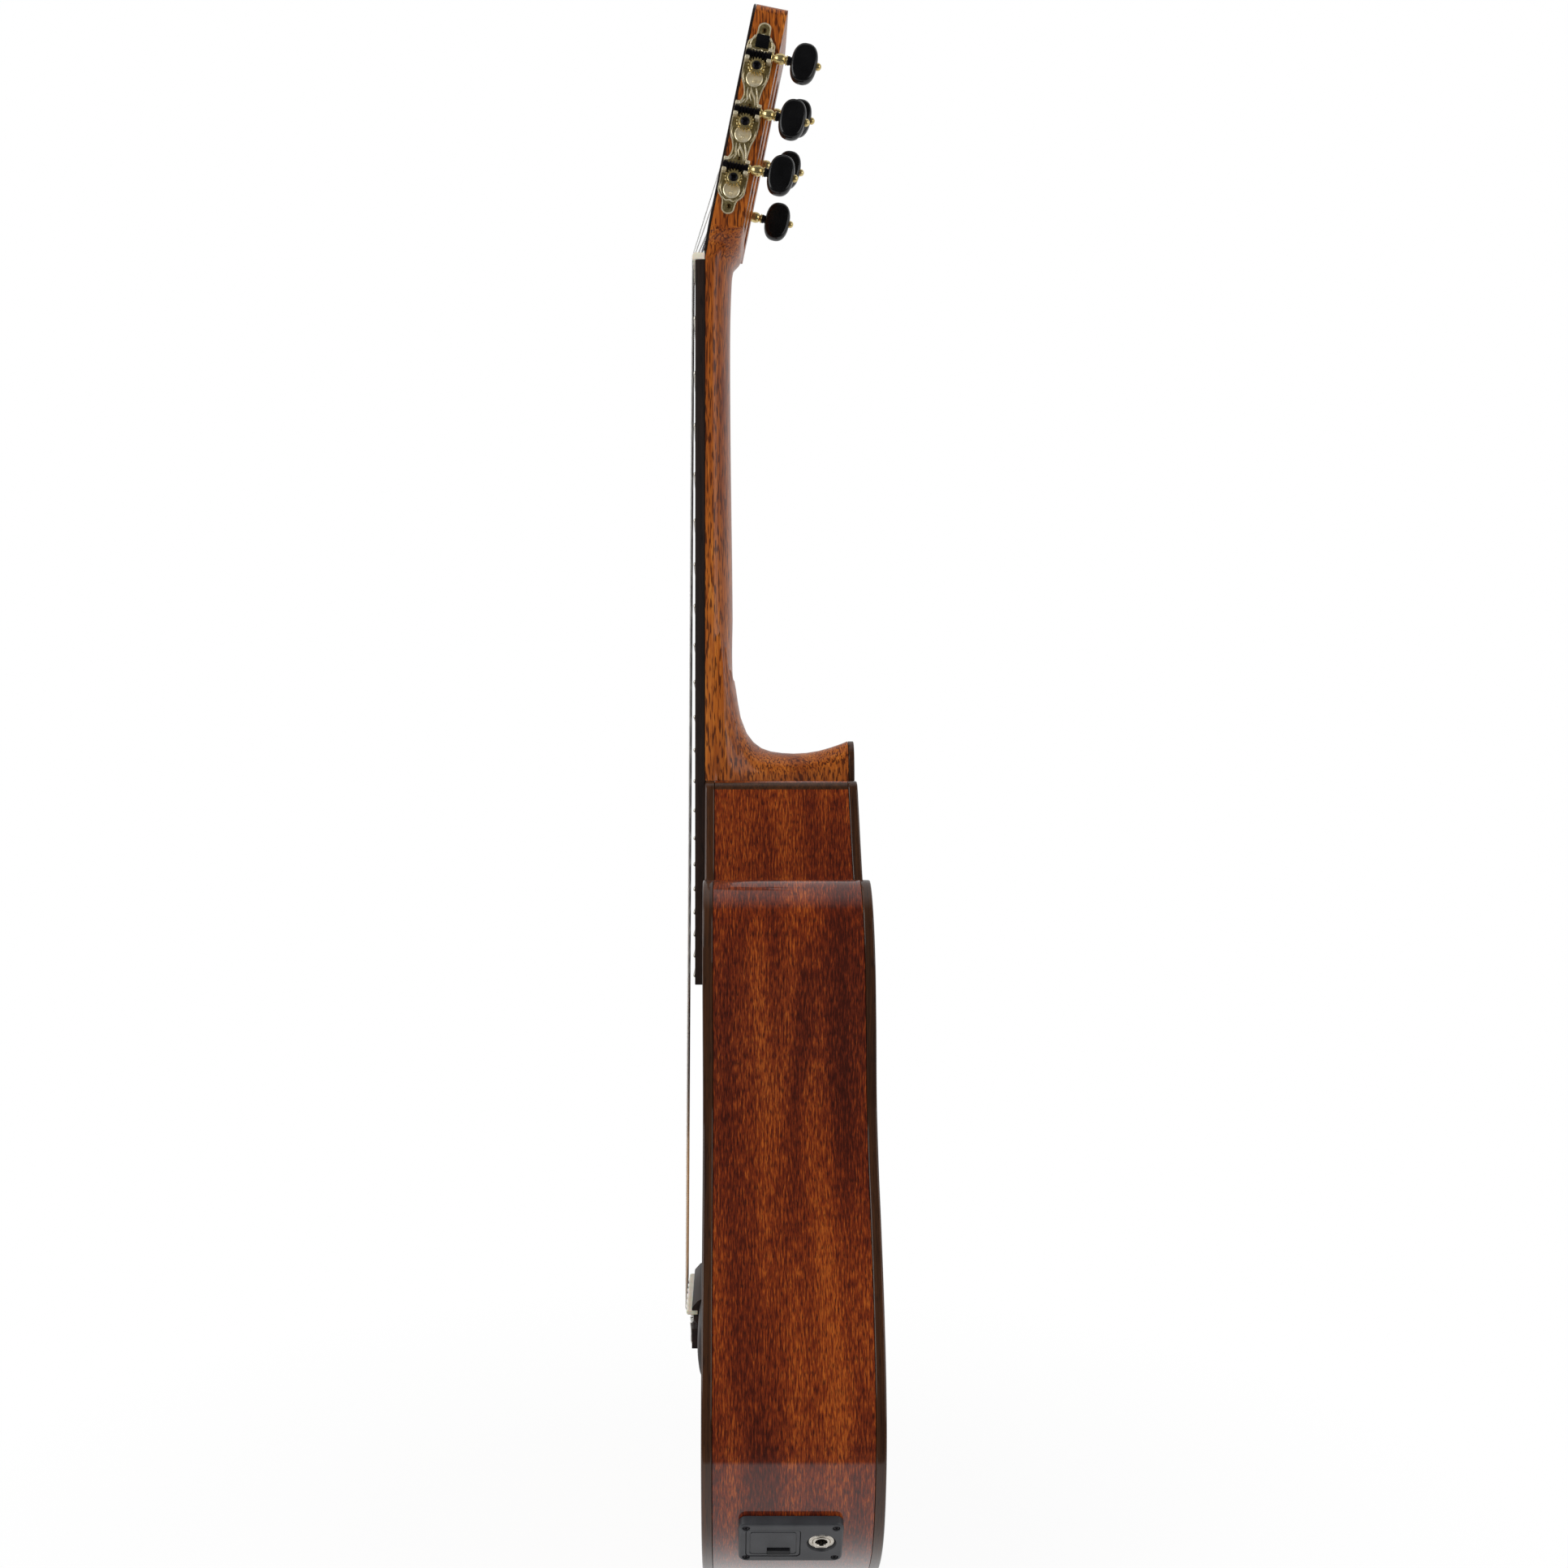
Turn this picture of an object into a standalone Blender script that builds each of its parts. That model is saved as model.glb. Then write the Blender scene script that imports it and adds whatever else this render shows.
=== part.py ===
"""Acoustic-electric classical guitar with a cutaway, upright, in metres.

The neck points up (+Z), the soundboard faces -X, the back +X, and the treble side with the
cutaway faces -Y. The origin is on the centre line, in the soundboard plane, where the nut
meets the fingerboard. Depths d are millimetres below the nut, so z = -d.
"""
import math

import bmesh
import bpy
from mathutils import Matrix, Vector

MM = 0.001
GAP = 0.3  # clearance between pieces that touch

# Scale, neck and fingerboard
SCALE_LENGTH = 650.0
FRET_COUNT = 20
BODY_FRET = 12
BOARD_TAIL = 5.7  # the board runs on this far past the last fret
BOARD_THICK = 6.0
WIDTH_AT_NUT = 52.0
WIDTH_AT_BODY = 62.0
FRET_WIDTH = 2.4
FRET_HEIGHT = 1.1
NECK_DEPTH_NUT = 14.8
NECK_DEPTH_BODY = 18.2
NUT_THICK = 4.6
NUT_HEIGHT = 8.2
HEEL_LOW_WIDTH = 24.0
HEEL_CAP_THICK = 3.6
HEEL_STOCK = 18.0
HEEL_RISE = 40.0
HEEL_CURVE = 7.0
HEEL_LIP = 8.0
HEEL_WAIST = 55.0

# Body
BODY_LENGTH = 479.0
UPPER_BOUT = 280.0
WAIST = 240.0
LOWER_BOUT = 366.0
BODY_DEPTH = 98.3
CROSS_ARCH_RADIUS = 5650.0
LONG_ARCH_RADIUS = 7350.0
BOARD_PLATE = 2.6
BACK_PLATE = 2.6
SIDE_THICK = 2.2
BINDING_HEIGHT = 6.0
LINING_HEIGHT = 15.0
LINING_THICK = 6.0
SOUNDHOLE_DIAMETER = 85.0
ROSETTE_INNER = 46.5
ROSETTE_OUTER = 60.0
ROSETTE_DEPTH = 1.0
HEEL_STRIP_WIDTH = 4.0
HEEL_STRIP_THICK = 0.9
HEEL_STRIP_DROP = 5.0
OUTLINE_STEPS = 2
NECK_BLOCK_LONG = 40.0
TAIL_BLOCK_THICK = 14.0
TAIL_BLOCK_HALF = 40.0
BAR_WIDE = 8.0
BRACE_MARGIN = 3.0
BAR_HIGH = 18.0
BAR_END_HIGH = 4.0
BAR_TAPER = 35.0
FAN_WIDE = 6.0
FAN_HIGH = 5.0
FAN_TAPER = 0.6
FAN_STARTS = 14.0
FAN_ENDS = 36.0
BRIDGE_PLATE_THICK = 2.4
BRIDGE_PLATE_MARGIN = 3.0
BACK_BRACE_HIGH = 14.0
BACK_BRACE_HALF = 4.0

# Bridge and strings
BRIDGE_LENGTH = 188.0
BRIDGE_BLOCK = 84.0
BRIDGE_WIDTH = 30.0
BRIDGE_HEIGHT = 8.0
WING_HEIGHT = 4.0
SADDLE_THICK = 3.0
SADDLE_HEIGHT = 11.4
TIE_BLOCK = 12.0
BRIDGE_LEAD = 7.0  # the bridge starts this far before the saddle
SADDLE_MARGIN = 2.0
SLOT_FLOOR = 2.6
PICKUP_THICK = 1.4
TIE_HOLE_HEIGHT = 4.4
TIE_WELL_HEIGHT = 3.4
SPREAD_AT_NUT = 43.0
SPREAD_AT_BRIDGE = 58.0
STRING_DIAMETERS = (0.72, 0.82, 1.02, 0.74, 0.90, 1.10)
WINDING_TURNS = 2.5
TURN_POINTS = 9
ROLLER_STARTS = (17.0, 14.5, 12.5)

# Head
HEAD_TILT = math.radians(11.7)
HEAD_LENGTH = 160.0
HEAD_WIDTH = 70.0
HEAD_THICK = 21.5
HEAD_FRONT_OFFSET = 2.0
VENEER_THICK = 1.5
WEB_WIDTH = 16.0
SLOT_WIDTH = 16.0
SLOT_LOW = 22.0
SLOT_HIGH = 136.0

# Tuning machines
GEAR_PITCH = 35.0
GEAR_MIDDLE = 83.3
ROLLER_DEPTH = 9.9
ROLLER_RADIUS = 4.9
JOURNAL_RADIUS = 3.0
PIN_RADIUS = 1.8
PIN_END = 3.0
PLATE_LENGTH = 120.0
PLATE_SHIFT = 4.0  # the plate's middle lies this far above the middle wheel
PLATE_THICK = 1.2
PLATE_WIDE = 17.0
PLATE_WAIST = 12.5
GEAR_TEETH = 16
GEAR_RADIUS = 5.4
TOOTH_DEPTH = 1.1
GEAR_THICK = 3.4
WORM_RADIUS = 2.8
WORM_LENGTH = 10.0
WORM_CORE = 1.75
MESH_CLEARANCE = 0.25
MESH_RADIUS = 4.9
THREAD_TIP = 0.46
THREAD_FOOT = 0.96
TOOTH_TIP = 0.50
TOOTH_FOOT = 1.00
RINGS_PER_TURN = 4.5
BEARING_WIDE = 5.4
BEARING_WALL = 1.4
PLATE_TAB = 4.4
BOSS_RADIUS = 2.6
BOSS_TIP_RADIUS = 1.6
BOSS_HIGH = 1.2
BEARING_THICK = 2.2
SHAFT_RADIUS = 1.5
BUTTON_ALONG = 16.4
BUTTON_LENGTH = 25.0
BUTTON_THICK = 8.0
BUTTON_CENTRE = 28.2
BALL_RADIUS = 2.3
STEM_RADIUS = 1.2
BALL_CENTRE = 36.8

# Jack and battery housing in the lower bout
JACK_ANGLE = math.radians(36.0)
JACK_DEPTH_CENTRE = 48.0
JACK_PLATE_LONG = 56.0
JACK_PLATE_HIGH = 36.0
JACK_PLATE_PROUD = 3.0
HOUSING_DEEP = 54.0
HOUSING_WALL = 1.6
DOOR_ACROSS = 29.0
DOOR_HIGH = 25.0
DOOR_OFFSET = -9.5
JACK_OFFSET = 16.5
JACK_BORE = 6.4
JACK_RADIUS = 4.7
JACK_LONG = 28.0
JACK_NUT_RADIUS = 6.6
JACK_NUT_LOW = 0.9
RECESS_RADIUS = 7.75
RECESS_FLOOR = 0.6
CAVITY_LONG = 15.0
BOARD_AT = 34.0
CHIP_LONG = 6.0
PLATE_CORNER = 4.0
PLATE_CHAMFER = 1.2
DRAWER_TRAVEL = 50.0
LATCH_TRAVEL = 1.5
BATTERY = (17.0, 25.0, 45.0)
BATTERY_FLOOR = 1.8
DOOR_CORNER = 2.0
DOOR_SUNK = 0.2
LATCH_LONG = 12.0
LATCH_WIDE = 4.0
LATCH_HIGH = 2.4
LATCH_SHIFT = 3.0
LATCH_FROM_EDGE = 4.2
LATCH_SEAT_DEPTH = 1.4

BODY_TOP = SCALE_LENGTH * (1 - 2 ** (-BODY_FRET / 12))
BODY_END = BODY_TOP + BODY_LENGTH
BOARD_LENGTH = SCALE_LENGTH * (1 - 2 ** (-FRET_COUNT / 12)) + BOARD_TAIL
HEEL_HALF = WIDTH_AT_BODY / 2 + 3
BOARD_WIDENING = (WIDTH_AT_BODY - WIDTH_AT_NUT) / BODY_TOP
BRIDGE_FRONT = SCALE_LENGTH - BRIDGE_LEAD
SADDLE_FRONT = SCALE_LENGTH
SADDLE_HALF = BRIDGE_BLOCK / 2 - SADDLE_MARGIN


def clear_scene():
    for obj in list(bpy.data.objects):
        bpy.data.objects.remove(obj, do_unlink=True)


def collection(name):
    made = bpy.data.collections.new(name)
    bpy.context.scene.collection.children.link(made)
    return made


clear_scene()
PARTS = collection("classical_guitar")
CUTTERS = collection("cutters")


def material(name, colour, roughness, metallic=0.0):
    made = bpy.data.materials.new(name)
    made.use_nodes = True
    shader = made.node_tree.nodes["Principled BSDF"]
    shader.inputs["Base Color"].default_value = (*colour, 1.0)
    shader.inputs["Roughness"].default_value = roughness
    shader.inputs["Metallic"].default_value = metallic
    made.diffuse_color = (*colour, 1.0)
    return made


FINISHES = {
    "spruce": ((0.62, 0.42, 0.20), 0.25, 0.0),
    "mahogany": ((0.25, 0.06, 0.02), 0.20, 0.0),
    "neck_mahogany": ((0.30, 0.10, 0.03), 0.35, 0.0),
    "rosewood": ((0.05, 0.02, 0.01), 0.30, 0.0),
    "ebony": ((0.015, 0.011, 0.009), 0.40, 0.0),
    "bone": ((0.82, 0.78, 0.68), 0.35, 0.0),
    "gold_plate": ((0.55, 0.42, 0.18), 0.28, 1.0),
    "black_steel": ((0.015, 0.014, 0.014), 0.35, 0.6),
    "black_plastic": ((0.010, 0.010, 0.010), 0.30, 0.0),
    "grey_plastic": ((0.060, 0.062, 0.066), 0.50, 0.0),
    "nickel": ((0.65, 0.63, 0.60), 0.25, 1.0),
    "nylon": ((0.80, 0.80, 0.78), 0.15, 0.0),
    "wound_silver": ((0.60, 0.60, 0.62), 0.30, 1.0),
    "cedar": ((0.40, 0.22, 0.10), 0.60, 0.0),
    "circuit_green": ((0.02, 0.12, 0.05), 0.50, 0.0),
}


def finished(obj, finish):
    """Gives the object a material of its own in one of the finishes."""
    values = FINISHES[finish]
    obj.data.materials.clear()
    obj.data.materials.append(material(f"{obj.name}_{finish}", *values))
    return obj


def new_object(name, bm, finish=None, smooth=35.0):
    """A mesh object from a bmesh in millimetres; without a finish it is a cutter."""
    bmesh.ops.remove_doubles(bm, verts=bm.verts, dist=1e-4)
    bmesh.ops.recalc_face_normals(bm, faces=bm.faces)
    bmesh.ops.scale(bm, vec=(MM, MM, MM), verts=bm.verts)
    mesh = bpy.data.meshes.new(name)
    bm.to_mesh(mesh)
    bm.free()
    obj = bpy.data.objects.new(name, mesh)
    if finish:
        PARTS.objects.link(obj)
        finished(obj, finish)
        mesh.shade_smooth()
        mesh.set_sharp_from_angle(angle=math.radians(smooth))
    else:
        CUTTERS.objects.link(obj)
        obj.hide_render = True
        obj.display_type = "WIRE"
    return obj


def combine(obj, other, operation="DIFFERENCE"):
    step = obj.modifiers.new(operation.lower(), "BOOLEAN")
    step.operation = operation
    step.solver = "EXACT"
    step.object = other
    return obj


def loft(loops, closed=False):
    """Skins loops of equally many points; the end loops are capped, or the run closes on itself."""
    bm = bmesh.new()
    rows = [[bm.verts.new(point) for point in loop] for loop in loops]
    pairs = list(zip(rows, rows[1:]))
    if closed:
        pairs.append((rows[-1], rows[0]))
    else:
        bm.faces.new(rows[0])
        bm.faces.new(list(reversed(rows[-1])))
    for low, high in pairs:
        for i in range(len(low)):
            j = (i + 1) % len(low)
            bm.faces.new((low[i], high[i], high[j], low[j]))
    return bm


def prism(outline, low, high, place):
    """Extrudes a flat outline of (a, b) points from low to high; place(a, b, c) gives the point."""
    return loft([[place(a, b, c) for a, b in outline] for c in (low, high)])


def box(size, centre, frame=None):
    bm = bmesh.new()
    bmesh.ops.create_cube(bm, size=1.0)
    bmesh.ops.scale(bm, vec=size, verts=bm.verts)
    bmesh.ops.translate(bm, vec=centre, verts=bm.verts)
    if frame:
        bmesh.ops.transform(bm, matrix=frame, verts=bm.verts)
    return bm


def rod(radius, low, high, frame, sides=16):
    """A cylinder along the frame's own Z, between two heights."""
    bm = bmesh.new()
    bmesh.ops.create_cone(
        bm, cap_ends=True, segments=sides, radius1=radius, radius2=radius, depth=high - low
    )
    bmesh.ops.translate(bm, vec=(0, 0, (low + high) / 2), verts=bm.verts)
    bmesh.ops.transform(bm, matrix=frame, verts=bm.verts)
    return bm


def turned(profile, frame, sides=16):
    """A turned solid about the frame's own Z, from (radius, height) points with the ends on the axis."""
    rings = []
    for radius, height in profile:
        ring = []
        for i in range(sides):
            angle = math.tau * i / sides
            ring.append(frame @ Vector((radius * math.cos(angle), radius * math.sin(angle), height)))
        rings.append(ring)
    return loft(rings)


def axes(origin, x_axis, y_axis, z_axis):
    frame = Matrix((x_axis, y_axis, z_axis)).transposed().to_4x4()
    frame.translation = origin
    return frame


def wire(name, points, diameter, finish, sides=1):
    """A string or lead as a closed mesh, from a curve bent through the points."""
    curve = bpy.data.curves.new(name, "CURVE")
    curve.dimensions = "3D"
    curve.bevel_depth = diameter / 2 * MM
    curve.bevel_resolution = sides
    curve.use_fill_caps = True
    spline = curve.splines.new("POLY")
    spline.points.add(len(points) - 1)
    for point, place in zip(spline.points, points):
        point.co = (*(Vector(place) * MM), 1.0)
    obj = bpy.data.objects.new(name, curve)
    PARTS.objects.link(obj)
    weld = obj.modifiers.new("weld", "WELD")
    weld.merge_threshold = 1e-6
    finished(obj, finish)
    return obj


# Body outline: (half-width, depth) around the body, seen from the front

def control_points():
    """The outline's own points as (y, share of the body length), bass side first, then treble."""
    upper, waist, lower = UPPER_BOUT / 2, WAIST / 2, LOWER_BOUT / 2
    lower_half = [
        (waist, 0.382),
        (0.90 * waist + 0.10 * lower, 0.455),
        (0.60 * waist + 0.40 * lower, 0.530),
        (0.28 * waist + 0.72 * lower, 0.610),
        (0.05 * waist + 0.95 * lower, 0.690),
        (lower, 0.745),
        (0.965 * lower, 0.805),
        (0.90 * lower, 0.856),
        (0.785 * lower, 0.902),
        (0.585 * lower, 0.952),
        (0.33 * lower, 0.986),
    ]
    bass = [
        (HEEL_HALF, 0.0),
        (0.55 * upper, 0.012),
        (0.86 * upper, 0.062),
        (upper, 0.165),
        (0.55 * upper + 0.45 * waist, 0.275),
    ]
    horn = [
        (0.55 * upper + 0.45 * waist, 0.285),
        (0.985 * upper, 0.215),
        (0.970 * upper, 0.168),
        (0.905 * upper, 0.136),
        (0.810 * upper, 0.121),
        (0.690 * upper, 0.130),
        (0.570 * upper, 0.150),
        (0.455 * upper, 0.155),
        (0.360 * upper, 0.132),
        (0.305 * upper, 0.085),
        (0.275 * upper, 0.035),
        (HEEL_HALF, 0.002),
    ]
    treble = [(-y, t) for y, t in reversed(lower_half)] + [(-y, t) for y, t in horn]
    points = [(0.0, 0.0), *bass, *lower_half, (0.0, 1.0), *treble]
    tail = len(bass) + len(lower_half) + 1
    return [(y, BODY_TOP + t * BODY_LENGTH) for y, t in points], tail * OUTLINE_STEPS


def smooth_loop(points, steps):
    """A closed curve through the points, each span in a few steps that follow its length."""
    curve = []
    count = len(points)
    for i in range(count):
        four = [Vector(points[(i + k - 1) % count]) for k in range(4)]
        knots = [0.0]
        for near, far in zip(four, four[1:]):
            knots.append(knots[-1] + math.sqrt((far - near).length))
        for step in range(steps):
            t = knots[1] + (knots[2] - knots[1]) * step / steps
            level = four
            for span in (1, 2):
                level = [
                    level[k] * ((knots[k + span] - t) / (knots[k + span] - knots[k]))
                    + level[k + 1] * ((t - knots[k]) / (knots[k + span] - knots[k]))
                    for k in range(len(level) - 1)
                ]
            share = (t - knots[1]) / (knots[2] - knots[1])
            curve.append(level[0].lerp(level[1], share))
    return curve


CONTROLS, TAIL = control_points()
OUTLINE = [Vector((p.x, max(p.y, BODY_TOP))) for p in smooth_loop(CONTROLS, OUTLINE_STEPS)]


def outward(i):
    """The outline's outward direction at a station, in (y, d)."""
    along = OUTLINE[(i + 1) % len(OUTLINE)] - OUTLINE[i - 1]
    return Vector((along.y, -along.x)).normalized()


def body_loop(inset):
    return [OUTLINE[i] - outward(i) * inset for i in range(len(OUTLINE))]


def back_x(y, d):
    """Height of the arched back over the soundboard plane."""
    crown = BODY_TOP + 0.68 * BODY_LENGTH
    cross = ((LOWER_BOUT / 2) ** 2 - y**2) / (2 * CROSS_ARCH_RADIUS)
    return BODY_DEPTH + cross - (d - crown) ** 2 / (2 * LONG_ARCH_RADIUS)


def on_body(point, x):
    return Vector((x, point[0], -point[1]))


def ribbon(outer, inner, low, high, closed=False):
    """A wall that follows the outline; low and high give its two edges at a point."""
    loops = []
    for out, inn in zip(outer, inner):
        loops.append(
            [
                on_body(out, low(*out)),
                on_body(out, high(*out)),
                on_body(inn, high(*inn)),
                on_body(inn, low(*inn)),
            ]
        )
    return loft(loops, closed)


def level(x):
    return lambda y, d: x


def below_back(drop):
    return lambda y, d: back_x(y, d) - drop


INSIDE = SIDE_THICK + GAP
SOUNDHOLE_DEPTH = BOARD_LENGTH + SOUNDHOLE_DIAMETER / 2
ALONG_X = Matrix.Rotation(math.radians(90), 4, "Y")


def across_plates(y, d):
    """A frame whose Z runs from the soundboard to the back."""
    return Matrix.Translation((0, y, -d)) @ ALONG_X


def make_soundboard():
    edge = body_loop(INSIDE)
    board = new_object(
        "soundboard",
        loft([[on_body(p, x) for p in edge] for x in (0.0, BOARD_PLATE)]),
        "spruce",
    )
    hole = rod(SOUNDHOLE_DIAMETER / 2, -5, 10, across_plates(0, SOUNDHOLE_DEPTH), 32)
    combine(board, new_object("soundhole_cut", hole))
    groove = ring_solid(
        ROSETTE_INNER - GAP, ROSETTE_OUTER + GAP, -5.0, ROSETTE_DEPTH, SOUNDHOLE_DEPTH
    )
    combine(board, new_object("rosette_cut", groove))
    new_object(
        "rosette",
        ring_solid(ROSETTE_INNER, ROSETTE_OUTER, 0.0, ROSETTE_DEPTH - GAP, SOUNDHOLE_DEPTH),
        "rosewood",
    )


def ring_solid(inner, outer, low, high, depth, sides=32):
    """A flat ring about the soundhole's axis."""
    frame = across_plates(0, depth)
    loops = []
    for i in range(sides):
        angle = math.tau * i / sides
        turn = Vector((math.cos(angle), math.sin(angle), 0))
        loops.append(
            [frame @ (turn * r + Vector((0, 0, h))) for r, h in
             ((inner, low), (outer, low), (outer, high), (inner, high))]
        )
    return loft(loops, closed=True)


def make_back():
    edge = body_loop(INSIDE)
    centre = Vector((0.0, BODY_TOP + 0.58 * BODY_LENGTH))

    def shrunk(share, drop):
        loop = [centre + (p - centre) * share for p in edge]
        return [on_body(p, back_x(*p) - drop) for p in loop]

    shares = (0.34, 0.68, 1.0)
    loops = [shrunk(s, 0.0) for s in shares]
    loops += [shrunk(s, BACK_PLATE) for s in reversed(shares)]
    new_object("back_plate", loft(loops), "mahogany")


def make_sides():
    outer, inner = body_loop(0.0), body_loop(SIDE_THICK)
    low, high = level(BINDING_HEIGHT + GAP), below_back(BINDING_HEIGHT + GAP)
    count = len(OUTLINE)
    spans = {
        "side_bass": [i % count for i in range(0, TAIL + 1)],
        "side_treble": [i % count for i in range(TAIL, count + 1)],
    }
    sides = {}
    for name, stations in spans.items():
        half = 1 if name == "side_bass" else -1
        walls = []
        for loop in (outer, inner):
            wall = [loop[i].copy() for i in stations]
            wall[0].x = wall[-1].x = half * GAP / 2
            walls.append(wall)
        sides[name] = new_object(name, ribbon(*walls, low, high), "mahogany")
    for name, low_edge, high_edge in (
        ("front_binding", level(0.0), level(BINDING_HEIGHT)),
        ("back_binding", below_back(BINDING_HEIGHT), below_back(0.0)),
    ):
        new_object(name, ribbon(outer, inner, low_edge, high_edge, closed=True), "rosewood")
    return sides


def wall_point(depth):
    """Where the cutaway wall, beside the heel, reaches a depth, and its outward direction."""
    for i in range(len(OUTLINE) - 1, 0, -1):
        near, far = OUTLINE[i], OUTLINE[i - 1]
        if near.y <= depth <= far.y:
            along = near - far
            place = far + along * ((depth - far.y) / (near.y - far.y))
            return place, Vector((along.y, -along.x)).normalized()
    return OUTLINE[-1], outward(-1)


def make_end_strip(side):
    """The dark strip let into the side where the cutaway starts beside the heel."""
    start = BODY_TOP + HEEL_STRIP_DROP

    def strip(margin, depth, proud):
        walls = [[], []]
        for d in (start - margin, start + HEEL_STRIP_WIDTH + margin):
            place, out = wall_point(d)
            walls[0].append(place + out * proud)
            walls[1].append(place - out * depth)
        edge = BINDING_HEIGHT + GAP
        return ribbon(*walls, level(edge - margin), below_back(edge - margin))

    combine(side, new_object("end_strip_cut", strip(GAP, HEEL_STRIP_THICK + GAP, 1.0)))
    new_object("cutaway_end_strip", strip(0.0, HEEL_STRIP_THICK, 0.0), "rosewood")


def make_linings():
    """Strips that glue the plates to the sides, open where the neck block stands."""
    outer, inner = body_loop(INSIDE + GAP), body_loop(INSIDE + GAP + LINING_THICK)
    first = next(i for i, p in enumerate(OUTLINE) if p.x > HEEL_HALF + LINING_THICK)
    wall_foot = BODY_TOP + 0.05 * BODY_LENGTH
    last = next(i for i in range(len(OUTLINE) - 1, 0, -1) if OUTLINE[i].y > wall_foot)
    stretch = range(first, last + 1)
    walls = [[loop[i] for i in stretch] for loop in (outer, inner)]
    front = BOARD_PLATE + GAP
    back = BACK_PLATE + GAP
    for name, low, high in (
        ("front_lining", level(front), level(front + LINING_HEIGHT)),
        ("back_lining", below_back(back + LINING_HEIGHT), below_back(back)),
    ):
        new_object(name, ribbon(*walls, low, high), "cedar")


def make_blocks():
    low = BOARD_PLATE + GAP
    near = BODY_TOP + INSIDE + 3 * GAP
    far = near + NECK_BLOCK_LONG
    half = WIDTH_AT_BODY / 2 - 3.0
    high = BACK_PLATE + GAP + HEEL_HALF**2 / (2 * CROSS_ARCH_RADIUS)
    profile = [(low, near), (low, far), (back_x(0, far) - high, far), (back_x(0, near) - high, near)]
    block = prism(profile, -half, half, lambda x, d, y: Vector((x, y, -d)))
    new_object("neck_block", block, "cedar")
    stations = [i for i, p in enumerate(OUTLINE) if abs(p.x) < TAIL_BLOCK_HALF and p.y > BODY_END - 30]
    walls = [
        [body_loop(inset)[i] for i in stations]
        for inset in (INSIDE, INSIDE + TAIL_BLOCK_THICK)
    ]
    clear = GAP + LINING_HEIGHT + GAP
    edges = (level(BOARD_PLATE + clear), below_back(BACK_PLATE + clear))
    new_object("tail_block", ribbon(*walls, *edges), "cedar")


def half_width(d, side):
    """The outline's half-width at a depth, on the bass (+1) or treble (-1) side."""
    widths = [0.0]
    for i, near in enumerate(OUTLINE):
        far = OUTLINE[(i + 1) % len(OUTLINE)]
        if near.y != far.y and min(near.y, far.y) <= d <= max(near.y, far.y):
            y = near.x + (far.x - near.x) * (d - near.y) / (far.y - near.y)
            widths.append(y * side)
    return max(widths)


BRACE_END = INSIDE + 2 * GAP + LINING_THICK + BRACE_MARGIN
UPPER_BAR = SOUNDHOLE_DEPTH - SOUNDHOLE_DIAMETER / 2 - 11.0
LOWER_BAR = SOUNDHOLE_DEPTH + SOUNDHOLE_DIAMETER / 2 + 12.0


def cross_bar(d):
    """A harmonic bar across the soundboard, with its ends cut down to meet the linings."""
    bass, treble = (half_width(d, side) - BRACE_END for side in (1, -1))
    low = BOARD_PLATE + GAP
    profile = [
        (-treble, low),
        (bass, low),
        (bass, low + BAR_END_HIGH),
        (bass - BAR_TAPER, low + BAR_HIGH),
        (BAR_TAPER - treble, low + BAR_HIGH),
        (-treble, low + BAR_END_HIGH),
    ]
    return prism(profile, d - BAR_WIDE / 2, d + BAR_WIDE / 2, lambda y, x, c: Vector((x, y, -c)))


def make_bracing():
    new_object("upper_harmonic_bar", cross_bar(UPPER_BAR), "spruce")
    fan = new_object("fan_bracing", cross_bar(LOWER_BAR), "spruce")
    low = BOARD_PLATE + GAP
    for k in (-2, -1, 0, 1, 2):
        start = Vector((FAN_STARTS * k, LOWER_BAR))
        end = Vector((FAN_ENDS * k, BODY_END - 34.0 - 9.0 * k * k))
        along = (end - start).normalized()
        aside = Vector((along.y, -along.x)) * FAN_WIDE / 2
        corners = [start - aside, start + aside, end + aside * FAN_TAPER, end - aside * FAN_TAPER]
        strut = prism(
            [tuple(c) for c in corners], low, low + FAN_HIGH, lambda y, d, x: Vector((x, y, -d))
        )
        combine(fan, new_object(f"fan_strut_{k + 3}", strut), "UNION")
    middle = BRIDGE_FRONT + BRIDGE_WIDTH / 2
    plate = box(
        (BRIDGE_PLATE_THICK, BRIDGE_LENGTH + 2 * BRIDGE_PLATE_MARGIN, BRIDGE_WIDTH + 2 * BRIDGE_PLATE_MARGIN),
        (low + BRIDGE_PLATE_THICK / 2, 0, -middle),
    )
    combine(fan, new_object("bridge_plate_joint", plate), "UNION")
    for name, share in (("upper", 0.215), ("middle", 0.41), ("lower", 0.70)):
        d = BODY_TOP + share * BODY_LENGTH
        bass, treble = (half_width(d, side) - BRACE_END for side in (1, -1))
        loops = []
        for step in range(7):
            y = -treble + (bass + treble) * step / 6
            top = back_x(y, d) - BACK_PLATE - 1.5 * GAP
            high = BAR_END_HIGH if step in (0, 6) else BACK_BRACE_HIGH
            foot, crest = BACK_BRACE_HALF, BACK_BRACE_HALF - 1.0
            loops.append(
                [
                    Vector((x, y, -c))
                    for x, c in (
                        (top, d - foot), (top, d + foot), (top - high, d + crest), (top - high, d - crest)
                    )
                ]
            )
        new_object(f"back_brace_{name}", loft(loops), "spruce")


# Neck, head and fingerboard

UP = Vector((math.sin(HEAD_TILT), 0, math.cos(HEAD_TILT)))  # along the head
BACKWARD = Vector((math.cos(HEAD_TILT), 0, -math.sin(HEAD_TILT)))  # through the head
BASS = Vector((0, 1, 0))
HEAD_FOOT = Vector((-HEAD_FRONT_OFFSET, 0, 0))


def on_head(up, y, back):
    return HEAD_FOOT + UP * up + BASS * y + BACKWARD * back


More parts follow.
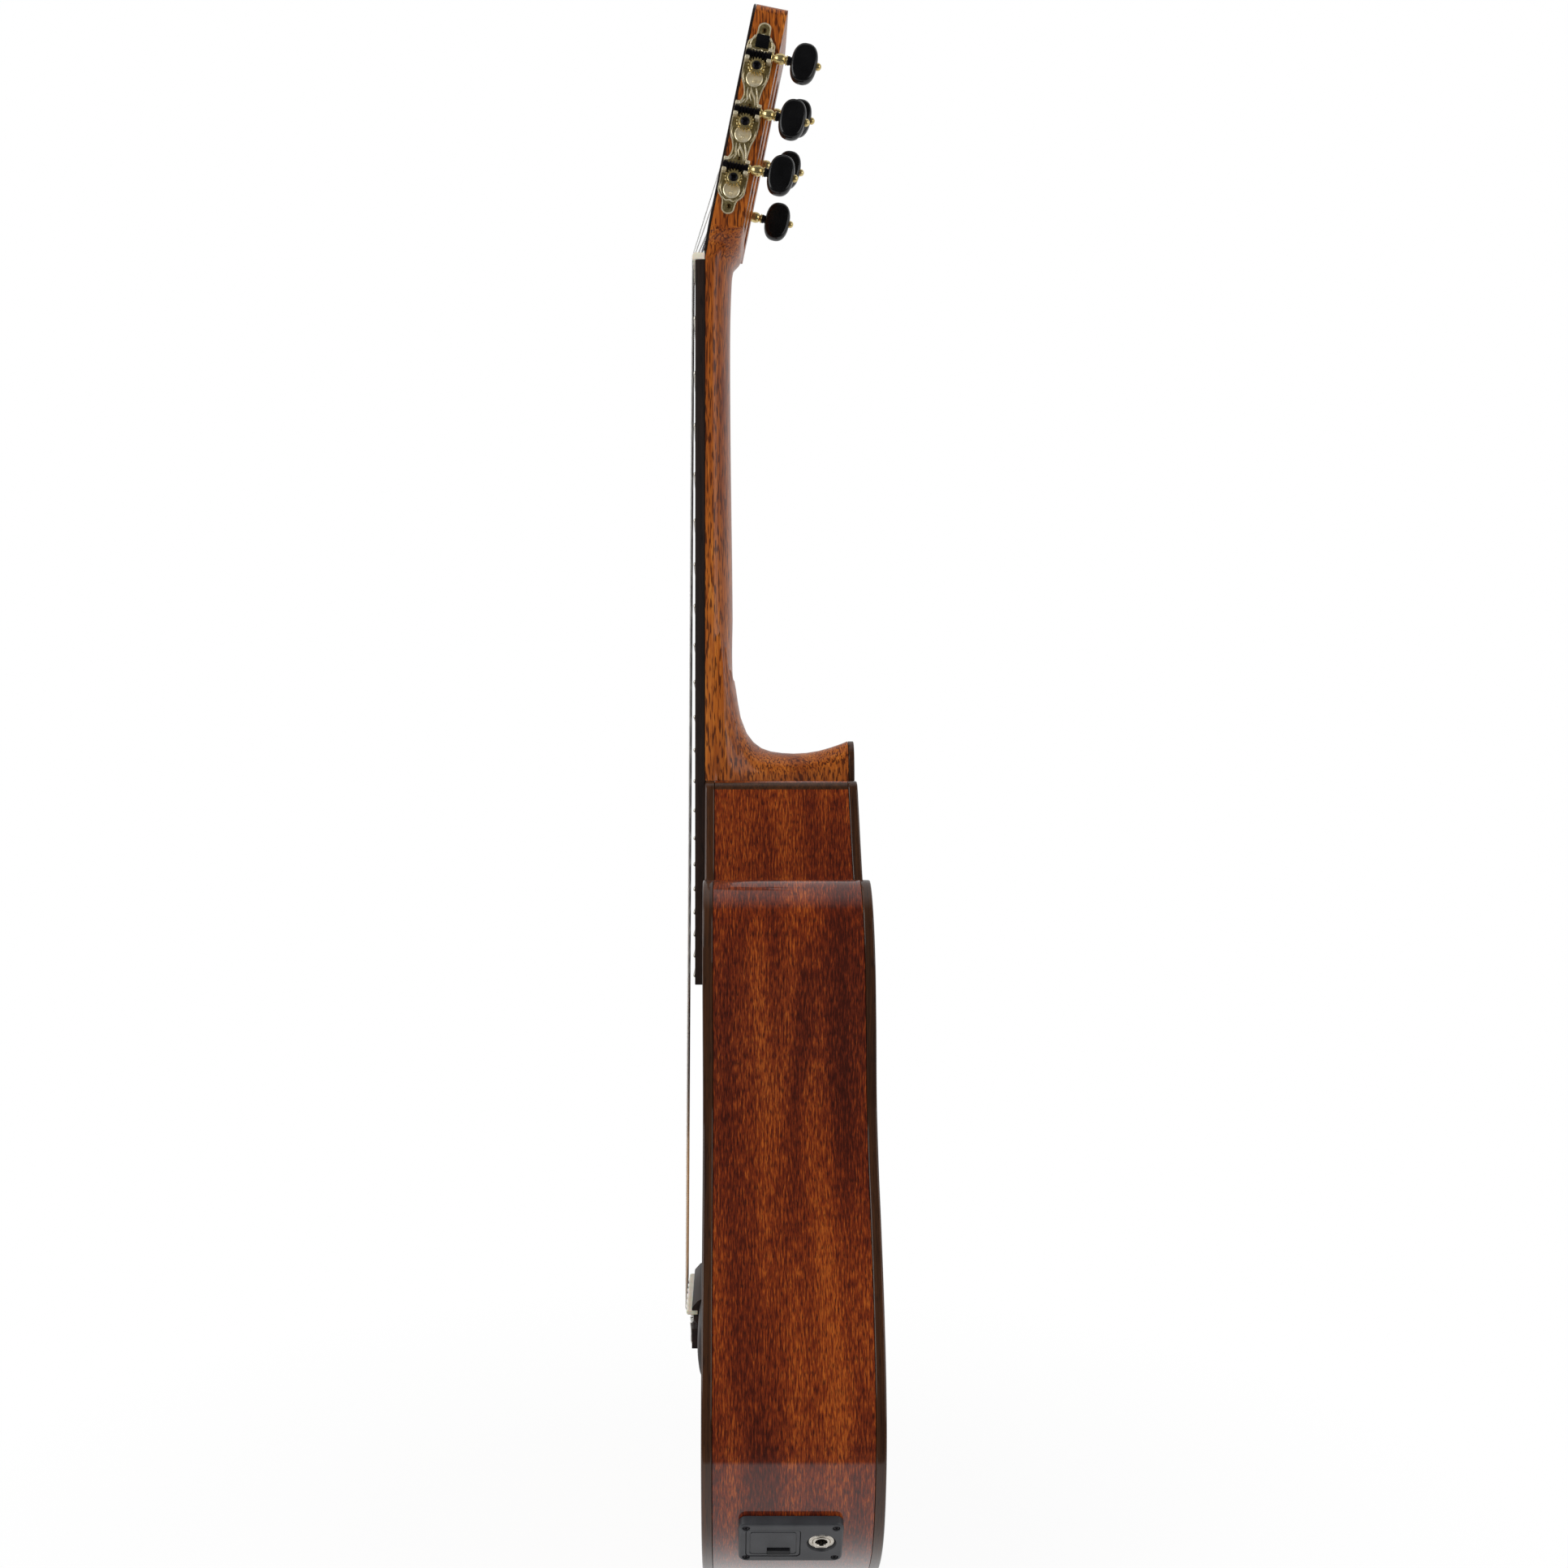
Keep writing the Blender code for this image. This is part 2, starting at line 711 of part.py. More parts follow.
def board_half(d):
    return (WIDTH_AT_NUT + BOARD_WIDENING * d) / 2


def neck_section(d, deep, half, points=10):
    """The neck's D section: flat under the fingerboard and rounded behind."""
    loop = []
    for i in range(points + 1):
        angle = math.pi * i / points
        bulge = math.sin(angle) ** 0.75
        loop.append(Vector((deep * bulge, half * math.cos(angle), -d)))
    return loop


def heel_section(x, points=10):
    """A slice of the heel at a height over the soundboard plane, rounded towards the nut."""
    reach = BODY_TOP - HEEL_STOCK - HEEL_RISE * math.exp(-(x - NECK_DEPTH_BODY) / HEEL_CURVE)
    reach -= HEEL_LIP * max(0.0, (x - HEEL_WAIST) / (heel_end() - HEEL_WAIST)) ** 2
    share = (x - NECK_DEPTH_BODY / 2) / (heel_end() - NECK_DEPTH_BODY / 2)
    half = (WIDTH_AT_BODY / 2) * (1 - share) ** 1.3 + HEEL_LOW_WIDTH / 2 * (1 - (1 - share) ** 1.3)
    back = BODY_TOP - GAP
    loop = []
    for i in range(points + 1):
        angle = math.pi * i / points
        tall = (back - reach) * math.sin(angle) ** 0.85
        loop.append(Vector((x, half * math.cos(angle), -(back - tall))))
    return loop


def heel_end():
    return back_x(0, BODY_TOP) - HEEL_CAP_THICK - GAP


def head_outline(low):
    """Half of the head's outline from the nut up, as (along, y); the other half mirrors it."""
    half = HEAD_WIDTH / 2
    shoulder = [(low, board_half(0)), (6.0, board_half(0) + 0.6), (13.0, half - 4.0), (20.0, half)]
    corner = 3.0
    top = [(HEAD_LENGTH - corner, half), (HEAD_LENGTH, half - corner)]
    return shoulder + top


def head_slab(low_front, low_back, front, back):
    loops = []
    for depth, low in ((front, low_front), (back, low_back)):
        right = head_outline(low)
        outline = right + [(up, -y) for up, y in reversed(right)]
        loops.append([on_head(up, y, depth) for up, y in outline])
    return loft(loops)


def slot_cutters():
    """The two long slots, with round ends."""
    radius = SLOT_WIDTH / 2
    middle = (WEB_WIDTH + SLOT_WIDTH) / 2
    cutters = []
    for side in (-1, 1):
        outline = []
        for centre, start in ((SLOT_HIGH - radius, 90), (SLOT_LOW + radius, 270)):
            for step in range(7):
                angle = math.radians(start - 180 * step / 6)
                outline.append(
                    (centre + radius * math.cos(angle), side * middle + radius * math.sin(angle))
                )
        cut = prism(outline, -3.0, HEAD_THICK + 3.0, on_head)
        cutters.append(new_object(f"slot_cut_{side}", cut))
    return cutters


def gear_stations():
    return [GEAR_MIDDLE + GEAR_PITCH * k for k in (1, 0, -1)]


def make_neck():
    loops = []
    for share in (-0.012, 0.09, 0.37, 0.68, 1.0):
        d = share * (BODY_TOP - GAP)
        deep = NECK_DEPTH_NUT + (NECK_DEPTH_BODY - NECK_DEPTH_NUT) * max(share, 0)
        loops.append(neck_section(d, deep, board_half(max(d, 0))))
    neck = new_object("neck", loft(loops), "neck_mahogany")
    foot = NECK_DEPTH_BODY / 2
    heights = [foot + (heel_end() - foot) * s for s in (0, 0.1, 0.16, 0.24, 0.36, 0.55, 0.78, 1)]
    heel = new_object("heel_joint", loft([heel_section(x) for x in heights]))
    combine(neck, heel, "UNION")
    head = head_slab(0.0, 7.0, VENEER_THICK + GAP, HEAD_THICK)
    combine(neck, new_object("head_joint", head), "UNION")
    seat = box((12.0, 2 * WIDTH_AT_NUT, 30.0), (-6.0, 0, NUT_THICK + GAP - 15.0))
    combine(neck, new_object("nut_seat_cut", seat))
    for cutter in slot_cutters():
        combine(neck, cutter)
    bores = bmesh.new()
    for up in gear_stations():
        for side in (-1, 1):
            frame = axes(on_head(up, 0, ROLLER_DEPTH), UP, BACKWARD * side, BASS * side)
            wall = rod(
                JOURNAL_RADIUS + GAP, (WEB_WIDTH + SLOT_WIDTH) / 2, HEAD_WIDTH, frame, 10
            )
            pin = rod(PIN_RADIUS + GAP, PIN_END - GAP, WEB_WIDTH / 2 + 3.0, frame, 8)
            for piece in (wall, pin):
                append(bores, piece)
    combine(neck, new_object("roller_bores", bores))

    low = (NUT_THICK + GAP) / math.cos(HEAD_TILT) + 0.5
    veneer = new_object("head_veneer", head_slab(low, low, 0.0, VENEER_THICK), "rosewood")
    for cutter in [obj for obj in CUTTERS.objects if obj.name.startswith("slot_cut")]:
        combine(veneer, cutter)

    lip = heel_section(heel_end())
    cap = loft([[p + Vector((GAP + t, 0, 0)) for p in lip] for t in (0.0, HEEL_CAP_THICK)])
    new_object("heel_cap", cap, "rosewood")


def append(bm, other):
    """Adds the second bmesh's pieces to the first."""
    mesh = bpy.data.meshes.new("piece")
    other.to_mesh(mesh)
    other.free()
    bm.from_mesh(mesh)
    bpy.data.meshes.remove(mesh)


def fret_depth(number):
    return SCALE_LENGTH * (1 - 2 ** (-number / 12))


def make_fingerboard():
    """The board with its fret crowns, drawn as a side profile and widened towards the body."""
    back, front = -GAP, -GAP - BOARD_THICK
    edge = [(front, 0.0)]
    for number in range(1, FRET_COUNT + 1):
        d = fret_depth(number)
        for shift, rise in ((-0.5, 0.0), (-0.2, 1.0), (0.2, 1.0), (0.5, 0.0)):
            edge.append((front - FRET_HEIGHT * rise, d + FRET_WIDTH * shift))
    edge += [(front, BOARD_LENGTH), (back, BOARD_LENGTH), (back, 0.0)]
    loops = [
        [Vector((x, side * board_half(d), -d)) for x, d in edge] for side in (-1, 1)
    ]
    new_object("fingerboard", loft(loops), "ebony", smooth=25.0)


def string_y(number, spread):
    """Where string 1 (treble) to 6 (bass) crosses, for the given spread."""
    return spread * ((number - 1) / 5 - 0.5)


def make_nut():
    half = WIDTH_AT_NUT / 2 - 0.5
    profile = [
        (-GAP, GAP),
        (-GAP, NUT_THICK),
        (-NUT_HEIGHT + 1.2, NUT_THICK),
        (-NUT_HEIGHT, NUT_THICK - 2.0),
        (-NUT_HEIGHT, GAP),
    ]
    nut = prism(profile, -half, half, lambda x, z, y: Vector((x, y, z)))
    nut = new_object("nut", nut, "bone")
    grooves = bmesh.new()
    for number, diameter in enumerate(STRING_DIAMETERS, 1):
        frame = Matrix.Translation((-NUT_HEIGHT, string_y(number, SPREAD_AT_NUT), 0))
        append(grooves, rod(diameter / 2 + GAP, -4.0, 12.0, frame, 8))
    combine(nut, new_object("nut_grooves", grooves))


# Bridge, saddle and pickup

def make_bridge():
    base = -GAP
    back = BRIDGE_FRONT + BRIDGE_WIDTH
    tie = back - TIE_BLOCK
    slot_front, slot_back = SADDLE_FRONT - GAP, SADDLE_FRONT + SADDLE_THICK + GAP
    profile = [
        (base, BRIDGE_FRONT),
        (-3.0, BRIDGE_FRONT),
        (-BRIDGE_HEIGHT + 0.6, slot_front - 2.4),
        (-BRIDGE_HEIGHT, slot_front - 1.2),
        (-BRIDGE_HEIGHT, slot_front),
        (-SLOT_FLOOR, slot_front),
        (-SLOT_FLOOR, slot_back),
        (-BRIDGE_HEIGHT + 1.0, slot_back),
        (-BRIDGE_HEIGHT + 1.0, slot_back + 2.0),
        (-TIE_WELL_HEIGHT, tie - 1.2),
        (-TIE_WELL_HEIGHT, tie),
        (-BRIDGE_HEIGHT, tie),
        (-BRIDGE_HEIGHT, back - 0.8),
        (-BRIDGE_HEIGHT + 0.8, back),
        (base, back),
    ]
    half = BRIDGE_BLOCK / 2
    block = prism(profile, -half, half, lambda x, d, y: Vector((x, y, -d)))
    bridge = new_object("bridge", block, "ebony")
    loops = []
    for share in (-1.0, -0.88, -0.5, 0.5, 0.88, 1.0):
        crown = WING_HEIGHT * (1.0 if abs(share) < 0.9 else 0.55)
        loop = [(base, BRIDGE_FRONT), (-0.35 * crown - 0.3, BRIDGE_FRONT)]
        for step in range(1, 6):
            angle = math.pi * step / 6
            loop.append(
                (-0.35 * crown - 0.65 * crown * math.sin(angle),
                 BRIDGE_FRONT + BRIDGE_WIDTH / 2 * (1 - math.cos(angle)))
            )
        loop += [(-0.35 * crown - 0.3, back), (base, back)]
        loops.append([Vector((x, share * BRIDGE_LENGTH / 2, -d)) for x, d in loop])
    combine(bridge, new_object("bridge_wings", loft(loops)), "UNION")
    slot = box(
        (20.0, 2 * (SADDLE_HALF + GAP), SADDLE_THICK + 2 * GAP),
        (-SLOT_FLOOR - 10.0, 0, -(SADDLE_FRONT + SADDLE_THICK / 2)),
    )
    combine(bridge, new_object("saddle_slot", slot))
    holes = bmesh.new()
    for number, diameter in enumerate(STRING_DIAMETERS, 1):
        y = string_y(number, SPREAD_AT_BRIDGE)
        frame = Matrix.Translation((-TIE_HOLE_HEIGHT, y, 0))
        append(holes, rod(diameter / 2 + GAP, -back - 3.0, -tie + 4.0, frame, 8))
    combine(bridge, new_object("tie_holes", holes))

    saddle = [
        (-SLOT_FLOOR - 2 * GAP - PICKUP_THICK, SADDLE_FRONT),
        (-SLOT_FLOOR - 2 * GAP - PICKUP_THICK, SADDLE_FRONT + SADDLE_THICK),
        (-SADDLE_HEIGHT + 1.0, SADDLE_FRONT + SADDLE_THICK),
        (-SADDLE_HEIGHT, SADDLE_FRONT + SADDLE_THICK - 1.2),
        (-SADDLE_HEIGHT, SADDLE_FRONT + 0.8),
        (-SADDLE_HEIGHT + 0.6, SADDLE_FRONT),
    ]
    block = prism(saddle, -SADDLE_HALF, SADDLE_HALF, lambda x, d, y: Vector((x, y, -d)))
    new_object("saddle", block, "bone")
    pickup = box(
        (PICKUP_THICK, 2 * SADDLE_HALF, SADDLE_THICK),
        (-SLOT_FLOOR - GAP - PICKUP_THICK / 2, 0, -(SADDLE_FRONT + SADDLE_THICK / 2)),
    )
    new_object("undersaddle_pickup", pickup, "black_plastic")


# Strings

def string_route(number):
    """Tie block, saddle, nut, and the turns on the roller, as points; and the turns' pitch."""
    diameter = STRING_DIAMETERS[number - 1]
    radius = diameter / 2
    side = -1 if number <= 3 else 1
    rank = number - 1 if number <= 3 else 6 - number
    bridge_y = string_y(number, SPREAD_AT_BRIDGE)
    nut_y = string_y(number, SPREAD_AT_NUT)
    back = BRIDGE_FRONT + BRIDGE_WIDTH
    over = -BRIDGE_HEIGHT - GAP - radius
    saddle = -SADDLE_HEIGHT - GAP - radius
    front = back - TIE_BLOCK
    route = [
        (over + 1.2, bridge_y, -front + 1.6),
        (over, bridge_y, -front),
        (over, bridge_y, -back + 0.4),
        (over + 1.6, bridge_y, -back - radius - GAP - 0.6),
        (-TIE_HOLE_HEIGHT - 0.8, bridge_y, -back - radius - GAP - 0.6),
        (-TIE_HOLE_HEIGHT, bridge_y, -back + 0.2),
        (-TIE_HOLE_HEIGHT, bridge_y, -front + 0.6),
        (saddle, bridge_y, -(SADDLE_FRONT + SADDLE_THICK - 0.6)),
        (saddle, bridge_y, -SADDLE_FRONT),
        (-NUT_HEIGHT, nut_y, 0.0),
        (-NUT_HEIGHT, nut_y, NUT_THICK - 1.0),
    ]
    centre = on_head(gear_stations()[rank], 0, ROLLER_DEPTH)
    wound = ROLLER_RADIUS + GAP + radius
    start = Vector((route[-1][0] - centre.x, route[-1][2] - centre.z))
    angle = math.atan2(start.y, start.x) - math.acos(wound / start.length)
    pitch = diameter + GAP + 0.2
    for step in range(round(WINDING_TURNS * TURN_POINTS) + 1):
        turn = angle - math.tau * step / TURN_POINTS
        y = side * (ROLLER_STARTS[rank] + pitch * step / TURN_POINTS)
        route.append((centre.x + wound * math.cos(turn), y, centre.z + wound * math.sin(turn)))
    return route, pitch - diameter


def make_strings():
    for number, diameter in enumerate(STRING_DIAMETERS, 1):
        route, least = string_route(number)
        print(f"string {number}: least gap between its turns {least:.2f} mm")
        wire(f"string_{number}", route, diameter, "nylon" if number <= 3 else "wound_silver")


# Tuning machines: one-start worm, sixteen-tooth wheel, string roller and plate

WORM_PITCH = math.tau * MESH_RADIUS / GEAR_TEETH
WORM_RISE = GEAR_RADIUS + WORM_RADIUS - TOOTH_DEPTH + MESH_CLEARANCE
PLATE_OUT = HEAD_WIDTH / 2 + GAP + PLATE_THICK
WORM_OUT = PLATE_OUT + GAP + WORM_RADIUS


def worm_frame(up, side):
    return axes(on_head(up + WORM_RISE, side * WORM_OUT, ROLLER_DEPTH), UP, -BASS, BACKWARD)


def thread_ring(frame, height):
    """A cross-section through the worm: its core, with the thread's bump turned to suit the height."""
    turn = math.tau * height / WORM_PITCH
    tip = math.pi * THREAD_TIP / WORM_PITCH
    foot = math.pi * THREAD_FOOT / WORM_PITCH
    ring = []
    for angle, radius in (
        (-foot, WORM_CORE), (-tip, WORM_RADIUS), (0, WORM_RADIUS), (tip, WORM_RADIUS),
        (foot, WORM_CORE), (foot + 0.75, WORM_CORE), (math.pi, WORM_CORE), (-foot - 0.75, WORM_CORE),
    ):
        at = turn + angle
        ring.append(frame @ Vector((radius * math.cos(at), radius * math.sin(at), height)))
    return ring


def round_ring(frame, height, radius, turn):
    ring = []
    for k in range(8):
        at = turn + math.tau * k / 8
        ring.append(frame @ Vector((radius * math.cos(at), radius * math.sin(at), height)))
    return ring


def make_worm_shaft(name, frame):
    """The shaft in one run: front journal, worm, rear journal, collar, bulb, ring, stem and ball."""
    half = WORM_LENGTH / 2
    inner = half + GAP + BEARING_THICK
    loops = []
    low_turn = -math.tau * half / WORM_PITCH - math.radians(90)
    for radius, height in ((SHAFT_RADIUS, -inner - 0.8), (SHAFT_RADIUS, -half)):
        loops.append(round_ring(frame, height, radius, low_turn))
    rings = round(2 * half / WORM_PITCH * RINGS_PER_TURN)
    loops += [thread_ring(frame, -half + 2 * half * k / rings) for k in range(rings + 1)]
    high_turn = math.tau * half / WORM_PITCH - math.radians(90)
    button_foot = BUTTON_CENTRE - BUTTON_ALONG / 2
    ball = [
        (BALL_RADIUS * math.sin(math.radians(a)), BALL_CENTRE - BALL_RADIUS * math.cos(math.radians(a)))
        for a in (32, 75, 120, 165)
    ]
    profile = [
        (SHAFT_RADIUS, half), (SHAFT_RADIUS, inner + GAP), (2.7, inner + GAP),
        (1.6, inner + 2.0), (2.6, inner + 3.6), (3.4, inner + 6.0), (2.6, inner + 8.4),
        (1.7, button_foot - 1.9), (2.9, button_foot - 1.7), (2.9, button_foot - GAP),
        (STEM_RADIUS, button_foot - GAP), *ball,
    ]
    loops += [round_ring(frame, height, radius, high_turn) for radius, height in profile]
    return new_object(name, loft(loops), "gold_plate", smooth=50.0)


def make_button(name, frame):
    """An oval button, pinched a little towards its edges, with a bore for the stem."""
    loops = []
    for thick, share in ((-0.5, 0.86), (-0.32, 1.0), (0.32, 1.0), (0.5, 0.86)):
        loop = []
        for k in range(14):
            at = math.tau * k / 14
            x = math.copysign(abs(math.cos(at)) ** 0.85, math.cos(at)) * BUTTON_LENGTH / 2
            z = math.copysign(abs(math.sin(at)) ** 0.85, math.sin(at)) * BUTTON_ALONG / 2
            loop.append(frame @ Vector((x * share, BUTTON_THICK * thick, BUTTON_CENTRE + z * share)))
        loops.append(loop)
    button = new_object(name, loft(loops), "black_plastic")
    bore = rod(STEM_RADIUS + GAP, 0.0, BUTTON_CENTRE + BUTTON_ALONG, frame, 10)
    combine(button, new_object(f"{name}_bore", bore))
    seat = bmesh.new()
    bmesh.ops.create_uvsphere(seat, u_segments=8, v_segments=5, radius=BALL_RADIUS + 1.5 * GAP)
    bmesh.ops.translate(seat, vec=(0, 0, BALL_CENTRE), verts=seat.verts)
    bmesh.ops.transform(seat, matrix=frame, verts=seat.verts)
    combine(button, new_object(f"{name}_ball_seat", seat))
    return button


def make_roller(name, up, side):
    """String roller with its worm wheel, from the wheel's screw to the pin in the web."""
    frame = axes(on_head(up, 0, ROLLER_DEPTH), UP, BACKWARD * side, BASS * side)
    slot_in, slot_out = WEB_WIDTH / 2 + GAP, WEB_WIDTH / 2 + SLOT_WIDTH - GAP
    gear_in, gear_out = WORM_OUT - GEAR_THICK / 2, WORM_OUT + GEAR_THICK / 2
    profile = [
        (PIN_RADIUS, PIN_END), (PIN_RADIUS, slot_in), (ROLLER_RADIUS, slot_in),
        (ROLLER_RADIUS, slot_out), (JOURNAL_RADIUS, slot_out), (JOURNAL_RADIUS, gear_out),
        (BOSS_RADIUS, gear_out), (BOSS_RADIUS, gear_out + BOSS_HIGH - 0.4),
        (BOSS_TIP_RADIUS, gear_out + BOSS_HIGH),
    ]
    roller = new_object(name, turned(profile, frame, 8), "gold_plate")
    root, lead = GEAR_RADIUS - TOOTH_DEPTH, WORM_PITCH / (math.tau * (WORM_RADIUS - TOOTH_DEPTH / 2))
    loops = []
    for out in (gear_in, gear_out):
        twist = side * lead * (out - WORM_OUT) / MESH_RADIUS
        loop = []
        for tooth in range(GEAR_TEETH):
            middle = math.tau * tooth / GEAR_TEETH
            for wide, radius in (
                (-TOOTH_FOOT, root), (-TOOTH_TIP, GEAR_RADIUS), (TOOTH_TIP, GEAR_RADIUS),
                (TOOTH_FOOT, root),
            ):
                at = middle + twist + wide / 2 / radius
                place = UP * math.cos(at) + BACKWARD * math.sin(at)
                loop.append(on_head(up, side * out, ROLLER_DEPTH) + place * radius)
        loops.append(loop)
    combine(roller, new_object(f"{name}_wheel", loft(loops)), "UNION")
    return roller


def plate_half(up):
    """Half the tuner plate's width: full at each wheel, waisted between them."""
    wave = math.cos(math.tau * (up - GEAR_MIDDLE) / GEAR_PITCH)
    return (PLATE_WIDE + PLATE_WAIST) / 4 + (PLATE_WIDE - PLATE_WAIST) / 4 * wave


def make_tuner_plate(name, side):
    middle, ends = GEAR_MIDDLE + PLATE_SHIFT, PLATE_LENGTH / 2
    tab = []
    for step in range(5):
        angle = math.radians(90 * step / 4)
        tab.append((ends - PLATE_TAB + PLATE_TAB * math.cos(angle), PLATE_TAB * math.sin(angle)))
    upper = [(middle + x, y) for x, y in tab]
    for quarter in (5.8, 5, 4, 3, 2, 1, 0, -1, -2, -3, -4, -5):
        up = GEAR_MIDDLE + GEAR_PITCH * quarter / 4
        upper.append((up, plate_half(up)))
    upper += [(middle - x, y) for x, y in reversed(tab)]
    outline = upper + [(x, -y) for x, y in reversed(upper[1:-1])]
    places = [(x, ROLLER_DEPTH + y) for x, y in outline]
    plate = prism(
        places, PLATE_OUT - PLATE_THICK, PLATE_OUT, lambda up, back, y: on_head(up, side * y, back)
    )
    plate = new_object(name, plate, "gold_plate")
    bearings, bores = bmesh.new(), bmesh.new()
    foot = PLATE_OUT - 0.5
    tall = WORM_OUT + SHAFT_RADIUS + BEARING_WALL - foot
    for up in gear_stations():
        frame = worm_frame(up, side)
        for back in (-1, 1):
            along = back * (WORM_LENGTH / 2 + GAP + BEARING_THICK / 2)
            centre = (0, -side * (foot + tall / 2 - WORM_OUT), along)
            append(bearings, box((BEARING_WIDE, tall, BEARING_THICK), centre, frame))
        reach = WORM_LENGTH / 2 + BEARING_THICK + 1.0
        append(bores, rod(SHAFT_RADIUS + GAP, -reach, reach, frame, 8))
        across = axes(on_head(up, 0, ROLLER_DEPTH), UP, BACKWARD * side, BASS * side)
        append(bores, rod(JOURNAL_RADIUS + GAP, HEAD_WIDTH / 2 - 2, PLATE_OUT + 0.15, across, 12))
    combine(plate, new_object(f"{name}_bearings", bearings), "UNION")
    combine(plate, new_object(f"{name}_bores", bores))


def make_tuners():
    for side, label in ((-1, "treble"), (1, "bass")):
        make_tuner_plate(f"tuner_plate_{label}", side)
        for rank, up in enumerate(gear_stations(), 1):
            frame = worm_frame(up, side)
            make_worm_shaft(f"worm_shaft_{label}_{rank}", frame)
            make_button(f"button_{label}_{rank}", frame)
            make_roller(f"string_roller_{label}_{rank}", up, side)


# Jack plate, battery drawer and what they hold

def jack_frame():
    """Centre of the jack plate on the side: X through the depth, Y up the side, Z outwards."""
    out = Vector((0, -math.cos(JACK_ANGLE), -math.sin(JACK_ANGLE)))
    up = Vector((0, -math.sin(JACK_ANGLE), math.cos(JACK_ANGLE)))
    best = min(
        (i for i, p in enumerate(OUTLINE) if p.x < 0 and p.y > BODY_TOP + BODY_LENGTH / 2),
        key=lambda i: abs(math.atan2(outward(i).y, -outward(i).x) - JACK_ANGLE),
    )
    return axes(on_body(OUTLINE[best], JACK_DEPTH_CENTRE), Vector((1, 0, 0)), up, out)


WELL_LONG = DOOR_ACROSS - 1.6
WELL_HIGH = DOOR_HIGH - 3.2
HOUSING_HALF_LONG = JACK_PLATE_LONG / 2 - 3.0
HOUSING_HALF_HIGH = WELL_HIGH / 2 + HOUSING_WALL
FLOOR = -HOUSING_DEEP + HOUSING_WALL
CAVITY_MIDDLE = HOUSING_HALF_LONG - HOUSING_WALL - CAVITY_LONG / 2


def rounded(long, high, corner, steps=3):
    points = []
    for turn, (sx, sy) in enumerate(((1, 1), (-1, 1), (-1, -1), (1, -1))):
        for step in range(steps + 1):
            angle = math.radians(90 * turn + 90 * step / steps)
            points.append(
                (sx * (long / 2 - corner) + corner * math.cos(angle),
                 sy * (high / 2 - corner) + corner * math.sin(angle))
            )
    return points


def make_jack_plate(frame, sides):
    def at(a, b, c):
        return frame @ Vector((a, b, c))

    proud = JACK_PLATE_PROUD
    rims = ((-9.0, 0.0), (proud - PLATE_CHAMFER, 0.0), (proud, PLATE_CHAMFER))
    loops = [
        [
            at(a, b, c)
            for a, b in rounded(JACK_PLATE_LONG - 2 * cut, JACK_PLATE_HIGH - 2 * cut, PLATE_CORNER)
        ]
        for c, cut in rims
    ]
    plate = new_object("jack_plate", loft(loops), "grey_plastic")
    body = body_loop(-GAP)
    inside = loft([[on_body(p, x) for p in body] for x in (-20.0, BODY_DEPTH + 20.0)])
    combine(plate, new_object("body_form", inside))
    size = (2 * HOUSING_HALF_LONG, 2 * HOUSING_HALF_HIGH, HOUSING_DEEP + 1.2)
    housing = box(size, (0, 0, (1.2 - HOUSING_DEEP) / 2), frame)
    combine(plate, new_object("housing_joint", housing), "UNION")
    cuts = bmesh.new()
    well = (DOOR_OFFSET, 0, (FLOOR + 10.0) / 2)
    append(cuts, box((WELL_LONG + 2 * GAP, WELL_HIGH + 2 * GAP, 10.0 - FLOOR), well, frame))
    combine(plate, new_object("drawer_well", cuts))
    pocket = box((DOOR_ACROSS + 2 * GAP, DOOR_HIGH + 2 * GAP, 10.0), (DOOR_OFFSET, 0, RECESS_FLOOR + 5.0), frame)
    combine(plate, new_object("door_pocket", pocket))
    turn = frame @ Matrix.Translation((JACK_OFFSET, 0, 0))
    combine(plate, new_object("jack_recess", rod(RECESS_RADIUS, RECESS_FLOOR, 10.0, turn, 24)))
    combine(plate, new_object("jack_hole", rod(JACK_RADIUS + GAP, -10.0, 5.0, turn, 16)))
    cavity = box(
        (CAVITY_LONG, 2 * (HOUSING_HALF_HIGH - HOUSING_WALL), HOUSING_DEEP),
        (CAVITY_MIDDLE, 0, -2.5 - HOUSING_DEEP / 2), frame,
    )
    combine(plate, new_object("jack_cavity", cavity))
    opening = box(
        (size[0] + 2 * GAP, size[1] + 2 * GAP, 30.0), (0, 0, 0), frame
    )
    combine(sides["side_treble"], new_object("housing_hole", opening))


def make_jack(frame):
    turn = frame @ Matrix.Translation((JACK_OFFSET, 0, 0))
    bore = JACK_BORE / 2
    barrel = rod(JACK_RADIUS, -JACK_LONG, JACK_PLATE_PROUD - 0.4, turn, 16)
    jack = new_object("output_jack", barrel, "nickel")
    combine(jack, new_object("jack_bore", rod(bore, 2.0 - JACK_LONG, 5.0, turn, 16)))
    nut = rod(JACK_NUT_RADIUS, JACK_NUT_LOW, JACK_PLATE_PROUD - 0.7, turn, 6)
    nut = new_object("jack_nut", nut, "nickel", smooth=20.0)
    combine(nut, new_object("jack_nut_bore", rod(JACK_RADIUS + GAP, 0.0, 5.0, turn, 16)))
    board = box((CAVITY_LONG - 2 * GAP, 2 * (HOUSING_HALF_HIGH - HOUSING_WALL - GAP), 1.6),
                (CAVITY_MIDDLE, 0, -BOARD_AT), frame)
    board = new_object("preamp_board", board, "circuit_green")
    chips = bmesh.new()
    for b, wide, tall in ((-6.0, 6.0, 1.8), (5.0, 4.0, 3.4)):
        centre = (CAVITY_MIDDLE, b, 0.6 - BOARD_AT + tall / 2)
        append(chips, box((CHIP_LONG, wide, tall), centre, frame))
    combine(board, new_object("board_components", chips), "UNION")


